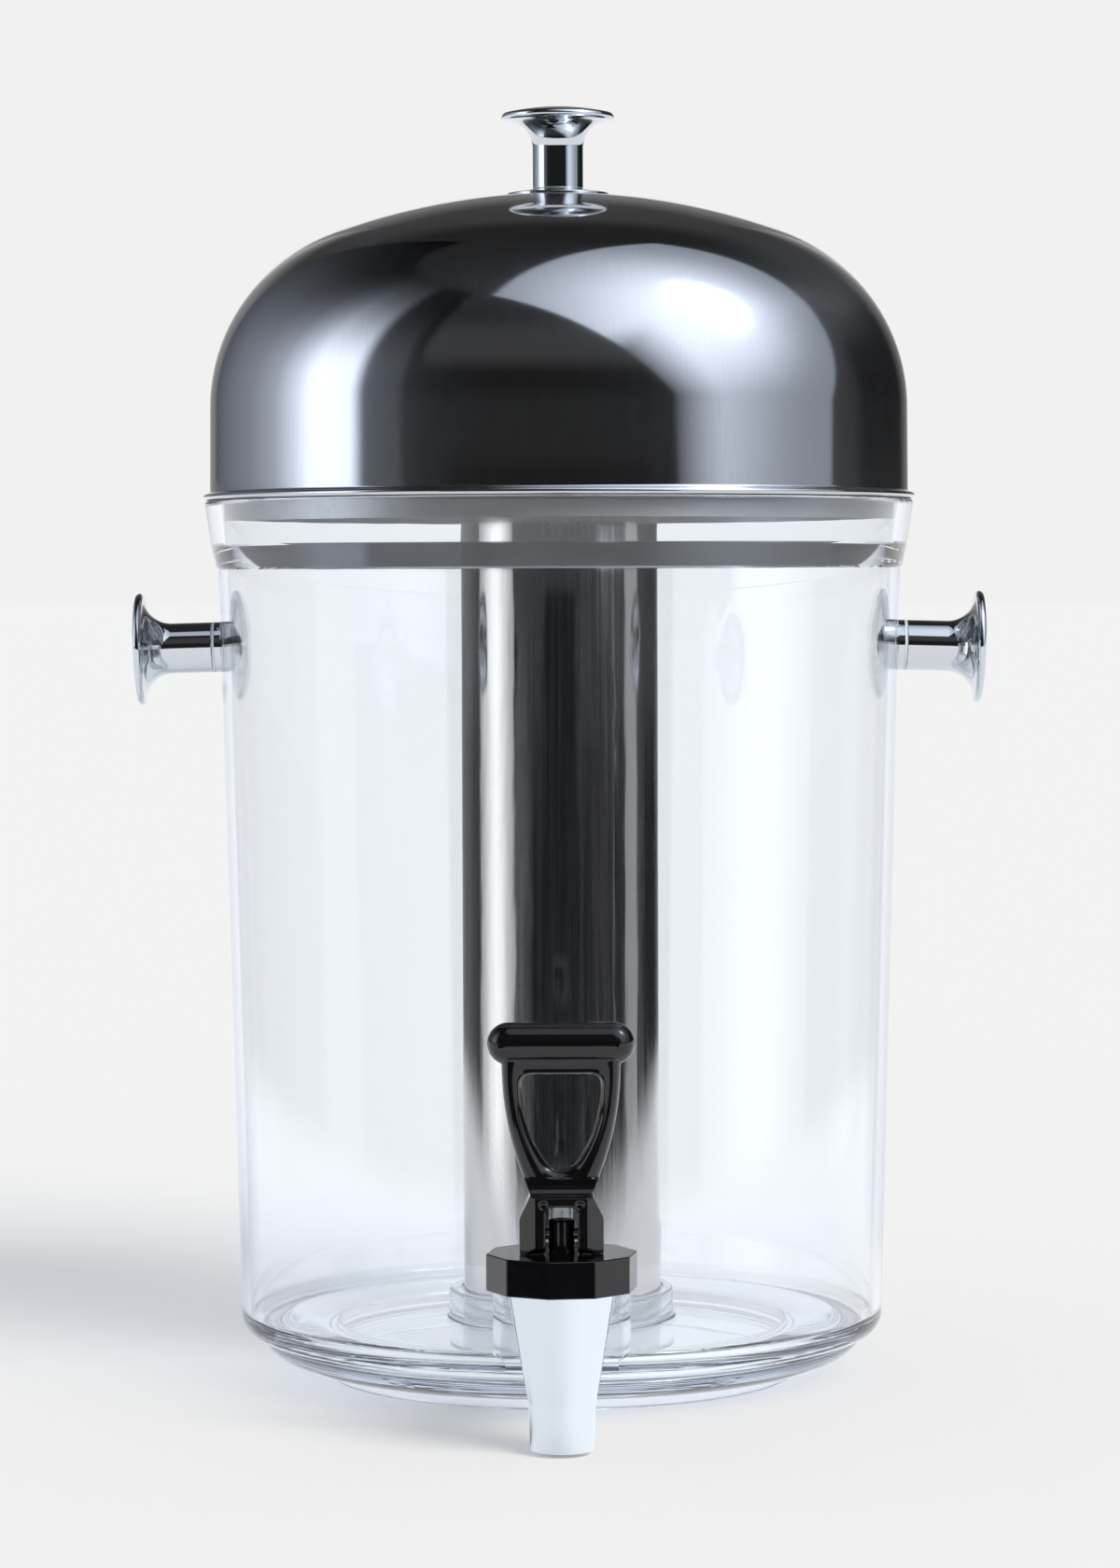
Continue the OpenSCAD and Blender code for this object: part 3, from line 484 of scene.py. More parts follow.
def lid():
    """The dome with its folded lip and skirt, buffed outside and left as rolled inside."""
    foot_in = SIDE_R - SHEET / math.cos(math.radians(TAPER))
    lip = LIP_T / 2
    outside = (dome(0)
               + arc(SIDE_R + LIP_ROOT, Z_LID + LIP_T + LIP_ROOT, LIP_ROOT, 180, 270, 8)
               + arc(LIP_R - lip, Z_LID + lip, lip, 90, -90, 12))
    inside = [(SKIRT_R, Z_LID), (SKIRT_R, Z_LID - SKIRT_H), (SKIRT_R - SHEET, Z_LID - SKIRT_H),
              (SKIRT_R - SHEET, Z_LID + SHEET), (foot_in, Z_LID + SHEET)] + dome(SHEET)[::-1]
    mesh = drawn("lid_shell", turned(outside + inside, closed=True, steps=LID_STEPS))
    fitted("lid_shell", mesh, LID, "lid_steel", "lid_dome")
    mesh.materials.append(LID_INSIDE)
    for face in mesh.polygons:
        if face.index >= (len(outside) - 1) * LID_STEPS:
            face.material_index = 1


def rosette():
    """The convex disc at the knob's foot, seated on the crown."""
    rim_at, hole_at = [math.degrees(math.acos(r / CROWN_R)) for r in (ROSETTE_R, HOLE)]
    seat = arc(0, Z_APEX - CROWN_R + SEAT_GAP, CROWN_R, rim_at, hole_at, 8)
    rim = (ROSETTE_R, seat[0][1] + ROSETTE_RIM, RIM_ROUND)
    slope = (SLOPE_R, rim[1] + SLOPE_RISE, 0)
    top = eased([(HOLE, Z_ROSETTE, 0), (ROSETTE_TOP_R, Z_ROSETTE, ROSETTE_ROUND), rim])[:-1]
    edge = eased([slope, rim, seat[0] + (0,)])[1:-1]
    return turned(top + edge + seat, closed=True)


lid()
fitted("knob_foot_rosette", drawn("knob_foot_rosette", rosette()), CHROME, "chrome", "knob_rosette")


# Knobs

def knob():
    """The turned mushroom knob standing on its stem: crowned disc, rolled edge, trumpet flare and stem."""
    edge_z, disc_x = KNOB_L - KNOB_CROWN, DISC_R - EDGE_R
    flare = disc_x - STEM_R
    flare_z = edge_z - EDGE_R - flare
    crown = (disc_x ** 2 + KNOB_CROWN ** 2 - EDGE_R ** 2) / (2 * (KNOB_CROWN - EDGE_R))
    meet = math.degrees(math.atan2(crown - KNOB_CROWN, disc_x))
    return turned(arc(0, KNOB_L - crown, crown, 90, meet, 20)
                  + arc(disc_x, edge_z, EDGE_R, meet, -90, 20)[1:]
                  + arc(disc_x, flare_z, flare, 90, 180, 28)[1:]
                  + eased([(STEM_R, flare_z, 0), (STEM_R, 0, KNOB_FOOT), (0, 0, 0)])[1:])


grips = {"lid": Matrix.Translation((0, 0, Z_ROSETTE + SEAT_GAP))}
for side, word in ((-1, "left"), (1, "right")):
    grips[word] = (Matrix.Translation((side * WALL_AT_HANDLE, 0, HANDLE_Z))
                   @ Matrix.Rotation(math.radians(side * (90 + DRAFT)), 4, "Y")
                   @ Matrix.Translation((0, 0, KNOB_SEAT)))
for word, place in grips.items():
    node = "lid_knob" if word == "lid" else word + "_handle_knob"
    fitted(word + "_grip", drawn(word + "_grip", moved(knob(), place)), CHROME, "chrome", node)


# Clear body: the vessel with its foot ring and tube socket in one moulding

def flat_at(mesh, face, z):
    """Whether a face of a mesh in metres lies level at this height."""
    return all(abs(mesh.vertices[i].co.z - z * MM) < 0.01 * MM for i in face.vertices)


def clear_body():
    """The vessel's walls as they are, with a floor whose foot ring and socket grow out of it."""
    vessel = frame["nodes"]["vessel"].data
    kept = [face for face in vessel.polygons
            if not (flat_at(vessel, face, FLOOR_LOW) or flat_at(vessel, face, FLOOR_TOP))]
    quarter = [math.radians(a) for a in evenly(90, 0, 30)]
    flare = [(FOOT_R + (FLARE_R - FOOT_R) * math.sin(a), FLOOR_LOW - (FLOOR_LOW - FOOT_STEP) * math.cos(a))
             for a in quarter]
    foot = eased([(FOOT_R, FOOT_STEP, 0), (FOOT_R, 0, 1.2), (FOOT_IN_R, 0, 0.8), (FOOT_IN_R, FLOOR_LOW, 1.0),
                  (0, FLOOR_LOW, 0)])
    socket = eased([(0, FLOOR_TOP, 0), (SOCKET_IN_R, FLOOR_TOP, 0.6), (SOCKET_IN_R, SOCKET_TOP, 1.2),
                    (SOCKET_R, SOCKET_TOP, 0.8), (SOCKET_R, FLOOR_TOP, 1.0), (FLOOR_R, FLOOR_TOP, 0)])
    under, over = [turned(outline, steps=BODY_STEPS) for outline in (flare + foot[1:], socket)]
    floor = drawn("floor_forms", together(under, over))
    points, faces, normals = [], [], []
    for mesh, chosen in ((vessel, kept), (floor, floor.polygons)):
        base = len(points)
        points += [tuple(v.co) for v in mesh.vertices]
        for face in chosen:
            faces.append([base + i for i in face.vertices])
            normals += [tuple(mesh.corner_normals[i].vector) for i in face.loop_indices]
    mesh = bpy.data.meshes.new("clear_body")
    mesh.from_pydata(points, [], faces)
    mesh.shade_smooth()
    mesh.normals_split_custom_set(normals)
    return mesh


fitted("clear_body", clear_body(), CLEAR, "clear_plastic", "vessel", "base_ring", "tube_socket")


# Tap

def spout():
    """The conical spout with its shank, flange and the thread that takes the nut."""
    cone = turned(eased([(NECK_R, NECK_TOP, 0.4), (NECK_R, SPOUT_Z, 0), (SPOUT_R, SPOUT_Z, 0.3),
                         (BEND_R, BEND_Z, BEND), (TIP_R, TIP_Z, 0.9), (BORE_R, TIP_Z, 0.5),
                         (BORE_R, BORE_TOP, 0.5), (CHAMBER_R, CHAMBER_LOW, 0.5), (CHAMBER_R, NECK_TOP, 0.4)],
                        count=8, closed=True), closed=True)
    flange_in_r = FLANGE_R - FLANGE_EDGE
    outline = [(SHANK_BORE_R, SHANK_OUT), (SHANK_R, SHANK_OUT), (SHANK_R, FLANGE_OUT),
               (flange_in_r, FLANGE_OUT), (FLANGE_R, FLANGE_OUT - FLANGE_EDGE),
               (FLANGE_R, FLANGE_IN + FLANGE_EDGE), (flange_in_r, FLANGE_IN), (SHANK_R, FLANGE_IN)]
    for k in range(THREAD_TURNS):
        crest = THREAD_FROM - THREAD_PITCH * k
        outline += [(SHANK_R, crest), (THREAD_R, crest - THREAD_PITCH / 2)]
    outline += [(THREAD_R, SHANK_IN), (SHANK_BORE_R, SHANK_IN)]
    forward = Matrix.Translation((0, 0, SHANK_Z)) @ Matrix.Rotation(math.radians(90), 4, "X")
    return together(moved(cone, ON_SPOUT), moved(turned(outline, closed=True, steps=96), forward))


def bonnet():
    """The ten-sided cap with softened edges."""
    shape = turned([(BONNET_HOLE_R, BONNET_TOP), (BONNET_R, BONNET_TOP), (BONNET_R, BONNET_LOW),
                    (BONNET_IN_R, BONNET_LOW), (BONNET_IN_R, BONNET_ROOF), (BONNET_HOLE_R, BONNET_ROOF)],
                   closed=True, steps=BONNET_SIDES, start=math.radians(BONNET_TURN))
    return shaped(drawn("ten_sided_bonnet", moved(shape, ON_SPOUT)), ("BEVEL", {
        "width": BONNET_EDGE * MM, "segments": 3, "limit_method": "ANGLE", "harden_normals": True}))


def stem():
    """The round stem with an eased top."""
    return moved(turned(eased([(0, VALVE_TOP, 0), (VALVE_R, VALVE_TOP, 0.7), (VALVE_R, VALVE_LOW, 0.3),
                               (0, VALVE_LOW, 0)]), steps=64), ON_SPOUT)


def spring(per_turn=40, sides=12):
    """A wound coil of round wire."""
    points = []
    count = SPRING_TURNS * per_turn
    for i, z in enumerate(evenly(SPRING_LOW, SPRING_HIGH, count)):
        a = 2 * math.pi * SPRING_TURNS * i / count
        out = Vector((math.cos(a), math.sin(a), 0))
        for s in range(sides):
            b = 2 * math.pi * s / sides
            points.append(out * (SPRING_R + WIRE_R * math.cos(b)) + Vector((0, 0, z + WIRE_R * math.sin(b))))
    ends = [list(range(sides)), list(range(count * sides, (count + 1) * sides))[::-1]]
    return moved((points, wrapped(count + 1, sides, closed=False) + ends), ON_SPOUT)


fitted("spout_and_shank", drawn("spout_and_shank", spout()), SATIN, "satin_silver", "tap_body")
fitted("ten_sided_bonnet", bonnet(), BLACK, "black_plastic", "tap_bonnet")
fitted("valve_stem", drawn("valve_stem", stem()), BLACK, "black_plastic", "tap_stem")
coil = fitted("valve_spring", drawn("valve_spring", spring(), 60), TURNED, "fastener_steel", "stem_spring")
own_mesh(coil)


# Lever

def loop_edge():
    """Right half of the loop's outer edge from the waist up into the cross-bar."""
    top, widening = BAR_RISE - BAR_R, (LOOP_W - WAIST_W) / 2
    rise = top - WAIST
    r = (widening ** 2 + rise ** 2) / (2 * widening)
    low = math.degrees(math.asin(rise / r))
    foot = WAIST - WAIST_DROP
    return ([(0, foot), (WAIST_W / 2 - WAIST_TUCK, foot)] + arc(LOOP_W / 2 - r, top, r, -low, 0, 30)
            + [(LOOP_W / 2, BAR_RISE), (0, BAR_RISE)])


def window_edge():
    """Right half of the finger window's edge from its lower end to its top."""
    shoulder, half = WINDOW_HIGH - WINDOW_CORNER, WINDOW_W / 2
    depth = shoulder - WINDOW_LOW - WINDOW_ROUND
    big = (depth ** 2 + half ** 2 - WINDOW_ROUND ** 2) / (2 * (half - WINDOW_ROUND))
    meet = math.degrees(math.atan2(big - half, depth))
    side = arc(depth, 0, WINDOW_ROUND, 0, meet, 20) + arc(0, half - big, big, meet, 90, 20)[1:]
    return ([(x, shoulder - down) for down, x in side]
            + arc(half - WINDOW_CORNER, shoulder, WINDOW_CORNER, 0, 90, 10)[1:] + [(0, WINDOW_HIGH)])


def reach(edge, turn):
    """Distance from the loop's middle to a right-half edge, along a turn from straight down."""
    ray = Vector((math.sin(turn), -math.cos(turn)))
    best = 0.0
    for (x0, z0), (x1, z1) in zip(edge, edge[1:]):
        start, run = Vector((x0, z0 - LOOP_MIDDLE)), Vector((x1 - x0, z1 - z0))
        cross = ray.cross(run)
        if abs(cross) < 1e-12:
            continue
        if -1e-9 <= start.cross(ray) / cross <= 1 + 1e-9:
            best = max(best, start.cross(run) / cross)
    return best


def loop(count=96, sides=20):
    """The stirrup's rounded arms round the finger window."""
    outer, inner = loop_edge(), window_edge()
    points = []
    for i in range(count):
        a = 2 * math.pi * (i + 0.5) / count
        near, far = [reach(edge, min(a, 2 * math.pi - a)) for edge in (inner, outer)]
        out = Vector((math.sin(a), 0, -math.cos(a)))
        for s in range(sides):
            b = 2 * math.pi * s / sides
            across, deep = [math.copysign(abs(c) ** (2 / ARM_SQUARE), c) for c in (math.cos(b), math.sin(b))]
            points.append(out * ((near + far) / 2 + (far - near) / 2 * across)
                          + Vector((0, ARM_D / 2 * deep, LOOP_MIDDLE)))
    return points, wrapped(count, sides, closed=True)


def lever():
    """Cross-bar, rounded loop and the forked foot, run together as one moulding with soft edges."""
    straight = BAR_W / 2 - BAR_R
    bar = turned(arc(0, straight, BAR_R, 90, 0, 14) + arc(0, -straight, BAR_R, 0, -90, 14), steps=48)
    bar = moved(bar, Matrix.Translation((0, 0, BAR_RISE)) @ Matrix.Rotation(math.radians(90), 4, "Y"))
    shell = drawn("lever_forms", moved(together(bar, loop()), ON_PIN))
    forms = bmesh.new()
    forms.from_mesh(frame["nodes"]["tap_lever"].data)
    bmesh.ops.remove_doubles(forms, verts=forms.verts, dist=0.001 * MM)
    cut = Vector((0, -SPOUT_Y * MM, (PIN_Z + FOOT_CUT) * MM))
    bmesh.ops.bisect_plane(forms, geom=forms.verts[:] + forms.edges[:] + forms.faces[:], plane_co=cut,
                           plane_no=(0, 0, 1), clear_outer=True)
    bmesh.ops.holes_fill(forms, edges=[e for e in forms.edges if e.is_boundary])
    forms.from_mesh(shell)
    bmesh.ops.recalc_face_normals(forms, faces=forms.faces[:])
    mesh = bpy.data.meshes.new("stirrup_lever")
    forms.to_mesh(mesh)
    forms.free()
    mesh = shaped(mesh, ("REMESH", {"mode": "VOXEL", "voxel_size": LEVER_VOXEL * MM}),
                  ("SMOOTH", {"factor": 0.5, "iterations": 4}))
    mesh.shade_smooth()
    return mesh


fitted("stirrup_lever", lever(), BLACK, "black_plastic", "tap_lever")


# Studio finishes, with places and lengths in metres

# More mirror turns than a ray takes, and more clear faces than it passes on its way into the vessel
ANY_TURNS, PAST_WALL = 20, 2.5
TABLE_FADE_AT, TABLE_FADE_FROM, TABLE_FADE_TO, TABLE_GLOW = (0.0, 0.35, 0.0), 0.5, 0.95, 0.3
TAP_REACH = 0.215


def mirrored_only(tree, shown, otherwise, most=3):
    """Shown where a mirror has turned the ray before, otherwise where it comes straight or through glass.

    A ray turned more than `most` times inside glass counts as straight, which keeps thick clear forms pale.
    """
    path = add(tree, "ShaderNodeLightPath").outputs
    # After a matt surface no ray has this many, so the cards shed no light
    least = add(tree, "ShaderNodeMath", {
        0: path["Diffuse Depth"], 1: ANY_TURNS, 2: 0.5}, operation="MULTIPLY_ADD").outputs[0]
    after = add(tree, "ShaderNodeMath", {
        0: path["Glossy Depth"], 1: least}, operation="GREATER_THAN").outputs[0]
    in_glass = add(tree, "ShaderNodeMath", {
        0: path["Transmission Depth"], 1: 0.5}, operation="GREATER_THAN").outputs[0]
    often = add(tree, "ShaderNodeMath", {
        0: path["Glossy Depth"], 1: most + 0.5}, operation="GREATER_THAN").outputs[0]
    lost = add(tree, "ShaderNodeMath", {0: in_glass, 1: often}, operation="MULTIPLY").outputs[0]
    once = add(tree, "ShaderNodeMath", {0: after, 1: lost}, operation="SUBTRACT", use_clamp=True).outputs[0]
    return add(tree, "ShaderNodeMixShader", {0: once, 1: otherwise, 2: shown}).outputs["Shader"]


def within_glass(tree, shown, otherwise):
    """Shown where the ray has passed the clear wall and come out again, otherwise where it has not."""
    passes = add(tree, "ShaderNodeLightPath").outputs["Transmission Depth"]
    deep = add(tree, "ShaderNodeMath", {0: passes, 1: PAST_WALL}, operation="GREATER_THAN").outputs[0]
    return add(tree, "ShaderNodeMixShader", {0: deep, 1: otherwise, 2: shown}).outputs["Shader"]


def white_table(tree):
    # A translucent white table lit a little from below, which keeps the shadows soft and pale.
    path = add(tree, "ShaderNodeLightPath").outputs
    turned_ray = add(tree, "ShaderNodeMath", {
        0: path["Is Transmission Ray"], 1: path["Is Glossy Ray"]}, operation="MAXIMUM").outputs[0]
    colour = add(tree, "ShaderNodeMix", {
        0: turned_ray, FIRST_COLOUR: srgb("#F1F1F1"), SECOND_COLOUR: srgb("#FBFCFE")},
        data_type="RGBA").outputs[MIXED_COLOUR]
    above = add(tree, "ShaderNodeBsdfDiffuse", {"Color": colour}).outputs["BSDF"]
    below = add(tree, "ShaderNodeEmission", {"Color": colour, "Strength": 1.0}).outputs["Emission"]
    return add(tree, "ShaderNodeMixShader", {0: TABLE_GLOW, 1: above, 2: below}).outputs["Shader"]


def table_face(tree):
    # Seen in the tube, the table fades out into the dark room away from a point behind the vessel.
    table = white_table(tree)
    clear = add(tree, "ShaderNodeBsdfTransparent").outputs["BSDF"]
    place = add(tree, "ShaderNodeTexCoord").outputs["Object"]
    away = add(tree, "ShaderNodeVectorMath", {
        0: place, 1: TABLE_FADE_AT}, operation="DISTANCE").outputs["Value"]
    gone = add(tree, "ShaderNodeMapRange", {
        "Value": away, "From Min": TABLE_FADE_FROM, "From Max": TABLE_FADE_TO},
        interpolation_type="SMOOTHSTEP").outputs["Result"]
    fading = add(tree, "ShaderNodeMixShader", {0: gone, 1: table, 2: clear}).outputs["Shader"]
    return mirrored_only(tree, within_glass(tree, fading, table), table)


def card_face(tree):
    # A card that glows with the greys of its points.
    grey = add(tree, "ShaderNodeVertexColor", layer_name="grey").outputs["Color"]
    return add(tree, "ShaderNodeEmission", {"Color": grey, "Strength": 1.0}).outputs["Emission"]


def flag_face(tree):
    # Seen in mirrors, and hardly at all inside clear plastic.
    clear = add(tree, "ShaderNodeBsdfTransparent").outputs["BSDF"]
    return mirrored_only(tree, card_face(tree), clear, most=1)


def front_flag_face(tree):
    # Met nearly square on only, so that the lid does not mirror it to an eye above.
    clear = add(tree, "ShaderNodeBsdfTransparent").outputs["BSDF"]
    aslant = add(tree, "ShaderNodeLayerWeight", {"Blend": 0.5}).outputs["Facing"]
    gone = add(tree, "ShaderNodeMapRange", {
        "Value": aslant, "From Min": 0.016, "From Max": 0.026}).outputs["Result"]
    square_on = add(tree, "ShaderNodeMixShader", {0: gone, 1: card_face(tree), 2: clear}).outputs["Shader"]
    return mirrored_only(tree, square_on, clear)


def low_flag_face(tree):
    # Seen only in the tube, through the clear wall.
    clear = add(tree, "ShaderNodeBsdfTransparent").outputs["BSDF"]
    return mirrored_only(tree, within_glass(tree, card_face(tree), clear), clear)


def tap_flag_face(tree):
    # Seen only from the tap itself, which stands nearer to it than the vessel does.
    clear = add(tree, "ShaderNodeBsdfTransparent").outputs["BSDF"]
    length = add(tree, "ShaderNodeLightPath").outputs["Ray Length"]
    close = add(tree, "ShaderNodeMath", {0: length, 1: TAP_REACH}, operation="LESS_THAN").outputs[0]
    near = add(tree, "ShaderNodeMixShader", {0: close, 1: clear, 2: card_face(tree)}).outputs["Shader"]
    return mirrored_only(tree, within_glass(tree, clear, near), clear)


TABLE = material("matt_white_table", table_face)
FLAG = material("studio_flag", flag_face)
FRONT_FLAG = material("studio_flag_in_front", front_flag_face)
LOW_FLAG = material("studio_flag_for_the_tube", low_flag_face)
TAP_FLAG = material("studio_flag_for_the_tap", tap_flag_face)
CEILING = material("studio_ceiling", card_face)


# Studio cards, in metres, with azimuths from the camera's side towards +X and elevations in degrees

NEUTRAL, COOL, TAP_COOL = (1.0, 1.0, 1.0), (0.9, 0.98, 1.12), (0.96, 1.0, 1.04)
SET_MIDDLE = Vector((0, 0, 0.34))
SPOUT_FOOT = Vector((0, -SPOUT_Y * MM, 0))
Z_TABLE, TABLE_HALF, Z_TAP_CARD = -0.2 * MM, 40.0, 0.3 * MM

# The dark room in front and at the sides, open behind, and its grey ceiling over everything
ROOM_FAR, LEVEL, EAVES, CEILING_FROM, HIGH, TOP = 9.0, 0.4, 10.8, 16, 38, 89.9
OPEN_ROOM, CEILING_GREY, CEILING_DROP = 0.2, 0.06, 0.036
CEILING_FADE, OVERHEAD_FADE = 10, 12
ROOM = [(-170, 0.5), (-164, 0.3), (-150, 0.17), (-134, 0.15), (-124, 0.1), (-112, 0.05), (-60, 0.03),
        (-30, 0.014), (40, 0.016), (80, 0.03), (104, 0.05), (112, 0.04), (118, 0.012), (150, 0.014),
        (164, 0.2), (170, 0.5)]

# The key softbox: a tilted square seen whole in the dome. A spot has a brightness, a middle and the squares
# of its spread across and up.
KEY_AT, KEY_FAR, KEY_GRID = (62, 48), 2.6, 24
KEY_LOW_LEFT, KEY_LOW_RIGHT = Vector((-0.64, -1.1)), Vector((1.09, -1.1))
KEY_HIGH_LEFT, KEY_HIGH_RIGHT = Vector((-0.76, 1.04)), Vector((0.68, 0.86))
KEY_CLOTH, KEY_EDGE, KEY_EDGE_RUN, KEY_EDGE_TOP, KEY_EDGE_RISE = 0.4, 0.15, 0.3, 0.38, 0.14
KEY_LEFT_SPOT = (1.0, -0.4, -0.3, 0.35, 0.8)
KEY_WIDE_SPOT = (1.0, 0.1, 0.0, 0.14, 0.3)
KEY_LAMP_SPOT = (20.0, 0.1, 0.02, 0.007, 0.018)

# The fill card on the left; only the tube shows its foot and the white strip and slit of light on the right
CARD_FAR, CARD_LOW, FILL_HIGH, FILL_FADE_FROM, FILL_FADE = 3.0, -20, 62, 12, 24
LOW_FILL, LOW_FILL_PEAK, LOW_FILL_AT, LOW_FILL_SPREAD = 0.35, 1.5, -80, 18
FILL = [(-152, 0.1), (-142, 0.18), (-118, 0.36), (-104, 0.6), (-94, 1.2), (-86, 2.0), (-70, 1.9),
        (-65, 0.14), (-52, 0.1), (-50, 0.03), (-46, 0.03)]
WHITE_STRIP, SLIT = [(82, 0.45), (101, 0.45)], [(64.8, 0.25), (66.2, 0.25)]

# Dark screens that stand on the table: radius, height and greys
FRONT_SCREEN = (0.36, 0.3, [(-32, 0.014), (32, 0.014)])
TAP_SCREEN = (0.22, 0.125, [(-60, 0.012), (35, 0.012)])

# The card on the table below the spout, a painted reflection of the table's light and shade that only the
# spout shows: its rings, and the greys that it adds and takes away
TAP_RINGS = [0.005, 0.015, 0.02, 0.025, 0.03, 0.035, 0.04, 0.05, 0.06, 0.075, 0.09, 0.12, 0.16, 0.2]
TAP_PALE, TAP_LIT_SIDE_GAIN, TAP_SIDE_FROM, TAP_SIDE_OVER = 0.86, 0.16, -25, 75
TAP_NEAR_SHADE, TAP_NEAR_SHADE_AT, TAP_NEAR_SHADE_SPREAD, TAP_NEAR_SHADE_R = 0.16, -10, 55, 0.034
TAP_SHADOW_STREAK, TAP_SHADOW_STREAK_AT, TAP_SHADOW_STREAK_SPREAD, TAP_SHADOW_STREAK_R = 0.62, -138, 20, 0.03


def towards(azimuth, elevation):
    """Unit vector to a point of the studio."""
    a, e = math.radians(azimuth), math.radians(elevation)
    return Vector((math.cos(e) * math.sin(a), -math.cos(e) * math.cos(a), math.sin(e)))


def clamped(share):
    """A share kept between 0 and 1."""
    return min(max(share, 0), 1)


def bell(distance, spread):
    """A share that falls off smoothly from 1 with distance."""
    return math.exp(-(distance / spread) ** 2)


def along(stops, azimuth):
    """The grey at an azimuth between (azimuth, grey) stops, and the open room's grey outside them."""
    for (a0, g0), (a1, g1) in zip(stops, stops[1:]):
        if a0 <= azimuth <= a1:
            return g0 + (g1 - g0) * (azimuth - a0) / (a1 - a0)
    return OPEN_ROOM


def staged(name, points, faces, finish):
    """A piece of the studio."""
    mesh = bpy.data.meshes.new(name)
    mesh.from_pydata([tuple(p) for p in points], [], faces)
    mesh.materials.append(finish)
    made = bpy.data.objects.new(name, mesh)
    scene.collection.objects.link(made)
    return made


def card(name, points, greys, columns, finish, tint=NEUTRAL):
    """A sheet of rows of points, with one tinted grey per point, that only turned rays meet."""
    corners = (0, 1, columns + 1, columns)
    firsts = [i for i in range(len(points) - columns) if (i + 1) % columns]
    made = staged(name, points, [[i + c for c in corners] for i in firsts], finish)
    layer = made.data.color_attributes.new("grey", "FLOAT_COLOR", "POINT")
    for point, grey in zip(layer.data, greys):
        point.color = [grey * t for t in tint] + [1.0]
    made.visible_camera = False
    made.visible_diffuse = False
    made.visible_shadow = False


def room_card(name, azimuths, elevations, far, grey, finish, tint=NEUTRAL):
    """A curved sheet round the set, as bright as grey(azimuth, elevation)."""
    spots = [(a, e) for e in elevations for a in azimuths]
    points = [SET_MIDDLE + towards(a, e) * far for a, e in spots]
    card(name, points, [grey(a, e) for a, e in spots], len(azimuths), finish, tint)


def screen(name, foot, r, high, stops, finish):
    """A screen standing on the table round a point, with its greys between (azimuth, grey) stops."""
    turns = evenly(stops[0][0], stops[-1][0], 64)
    points = [foot + Vector((0, 0, z)) + towards(a, 0) * r for z in (0, high) for a in turns]
    card(name, points, [along(stops, a) for a in turns] * 2, len(turns), finish, COOL)


def room_grey(azimuth, elevation):
    return along(ROOM, azimuth)


def ceiling_grey(azimuth, elevation):
    """The room's grey that passes into the ceiling's, which darkens overhead."""
    lift = clamped((elevation - CEILING_FROM) / CEILING_FADE)
    over = CEILING_GREY - CEILING_DROP * clamped((elevation - HIGH) / OVERHEAD_FADE)
    return along(ROOM, azimuth) * (1 - lift) + over * lift


def fill_grey(azimuth, elevation):
    """The fill card's greys, which fade out upwards."""
    return along(FILL, azimuth) * bell(max(elevation - FILL_FADE_FROM, 0), FILL_FADE)


def low_fill_grey(azimuth, elevation):
    """The fill card's foot, brightest at its middle."""
    return LOW_FILL + LOW_FILL_PEAK * bell(azimuth - LOW_FILL_AT, LOW_FILL_SPREAD)


def painted_tap_reflection_grey(azimuth, r):
    """A painted reflection of the shaded table as the spout mirrors it.

    It is painted brighter to the right, where the table is lit, with painted shade close by and a painted
    shadow streak behind on the left.
    """
    side = clamped((azimuth - TAP_SIDE_FROM) / TAP_SIDE_OVER)
    pale = TAP_PALE + TAP_LIT_SIDE_GAIN * side * side * (3 - 2 * side)
    near = TAP_NEAR_SHADE * bell(azimuth - TAP_NEAR_SHADE_AT, TAP_NEAR_SHADE_SPREAD) * bell(r, TAP_NEAR_SHADE_R)
    shadow_streak = TAP_SHADOW_STREAK * bell(azimuth - TAP_SHADOW_STREAK_AT, TAP_SHADOW_STREAK_SPREAD)
    return pale - near - shadow_streak * bell(max(r - TAP_SHADOW_STREAK_R, 0), TAP_SHADOW_STREAK_R)


def spot(x, y, bright, x0, y0, wide, tall):
    """The brightness of a soft spot at (x, y)."""
    return bright * math.exp(-((x - x0) ** 2 / wide + (y - y0) ** 2 / tall))


def key_softbox():
    """The softbox, brightest at its lamp; the lower part of its left edge fades out."""
    facing = towards(*KEY_AT)
    across = Vector((0, 0, 1)).cross(facing).normalized()
    upward = facing.cross(across)
    points, greys = [], []
    for t in evenly(0, 1, KEY_GRID):
        for s in evenly(0, 1, KEY_GRID):
            low, high = KEY_LOW_LEFT.lerp(KEY_LOW_RIGHT, s), KEY_HIGH_LEFT.lerp(KEY_HIGH_RIGHT, s)
            x, y = low.lerp(high, t)
            points.append(SET_MIDDLE + KEY_FAR * (facing + x * across + y * upward))
            soft = max(min(1, KEY_EDGE + s / KEY_EDGE_RUN), clamped((t - KEY_EDGE_TOP) / KEY_EDGE_RISE))
            greys.append(soft * (KEY_CLOTH + spot(x, y, *KEY_LEFT_SPOT))
                         + spot(x, y, *KEY_WIDE_SPOT) + spot(x, y, *KEY_LAMP_SPOT))
    card("key_softbox", points, greys, KEY_GRID + 1, FLAG, COOL)


def painted_tap_reflection_card():
    """A small round card on the table below the spout, seen in the spout only: a painted reflection of the
    table's light and shade.
    """
    turns = evenly(-180, 180, 72)
    spots = [(a, r) for r in TAP_RINGS for a in turns]
    points = [SPOUT_FOOT + Vector((0, 0, Z_TAP_CARD)) + towards(a, 0) * r for a, r in spots]
    card("painted_tap_reflection_card", points, [painted_tap_reflection_grey(a, r) for a, r in spots], len(turns), TAP_FLAG, TAP_COOL)


table_corners = [(x * TABLE_HALF, y * TABLE_HALF, Z_TABLE) for x, y in ((-1, -1), (1, -1), (1, 1), (-1, 1))]
staged("table", table_corners, [(0, 1, 2, 3)], TABLE)

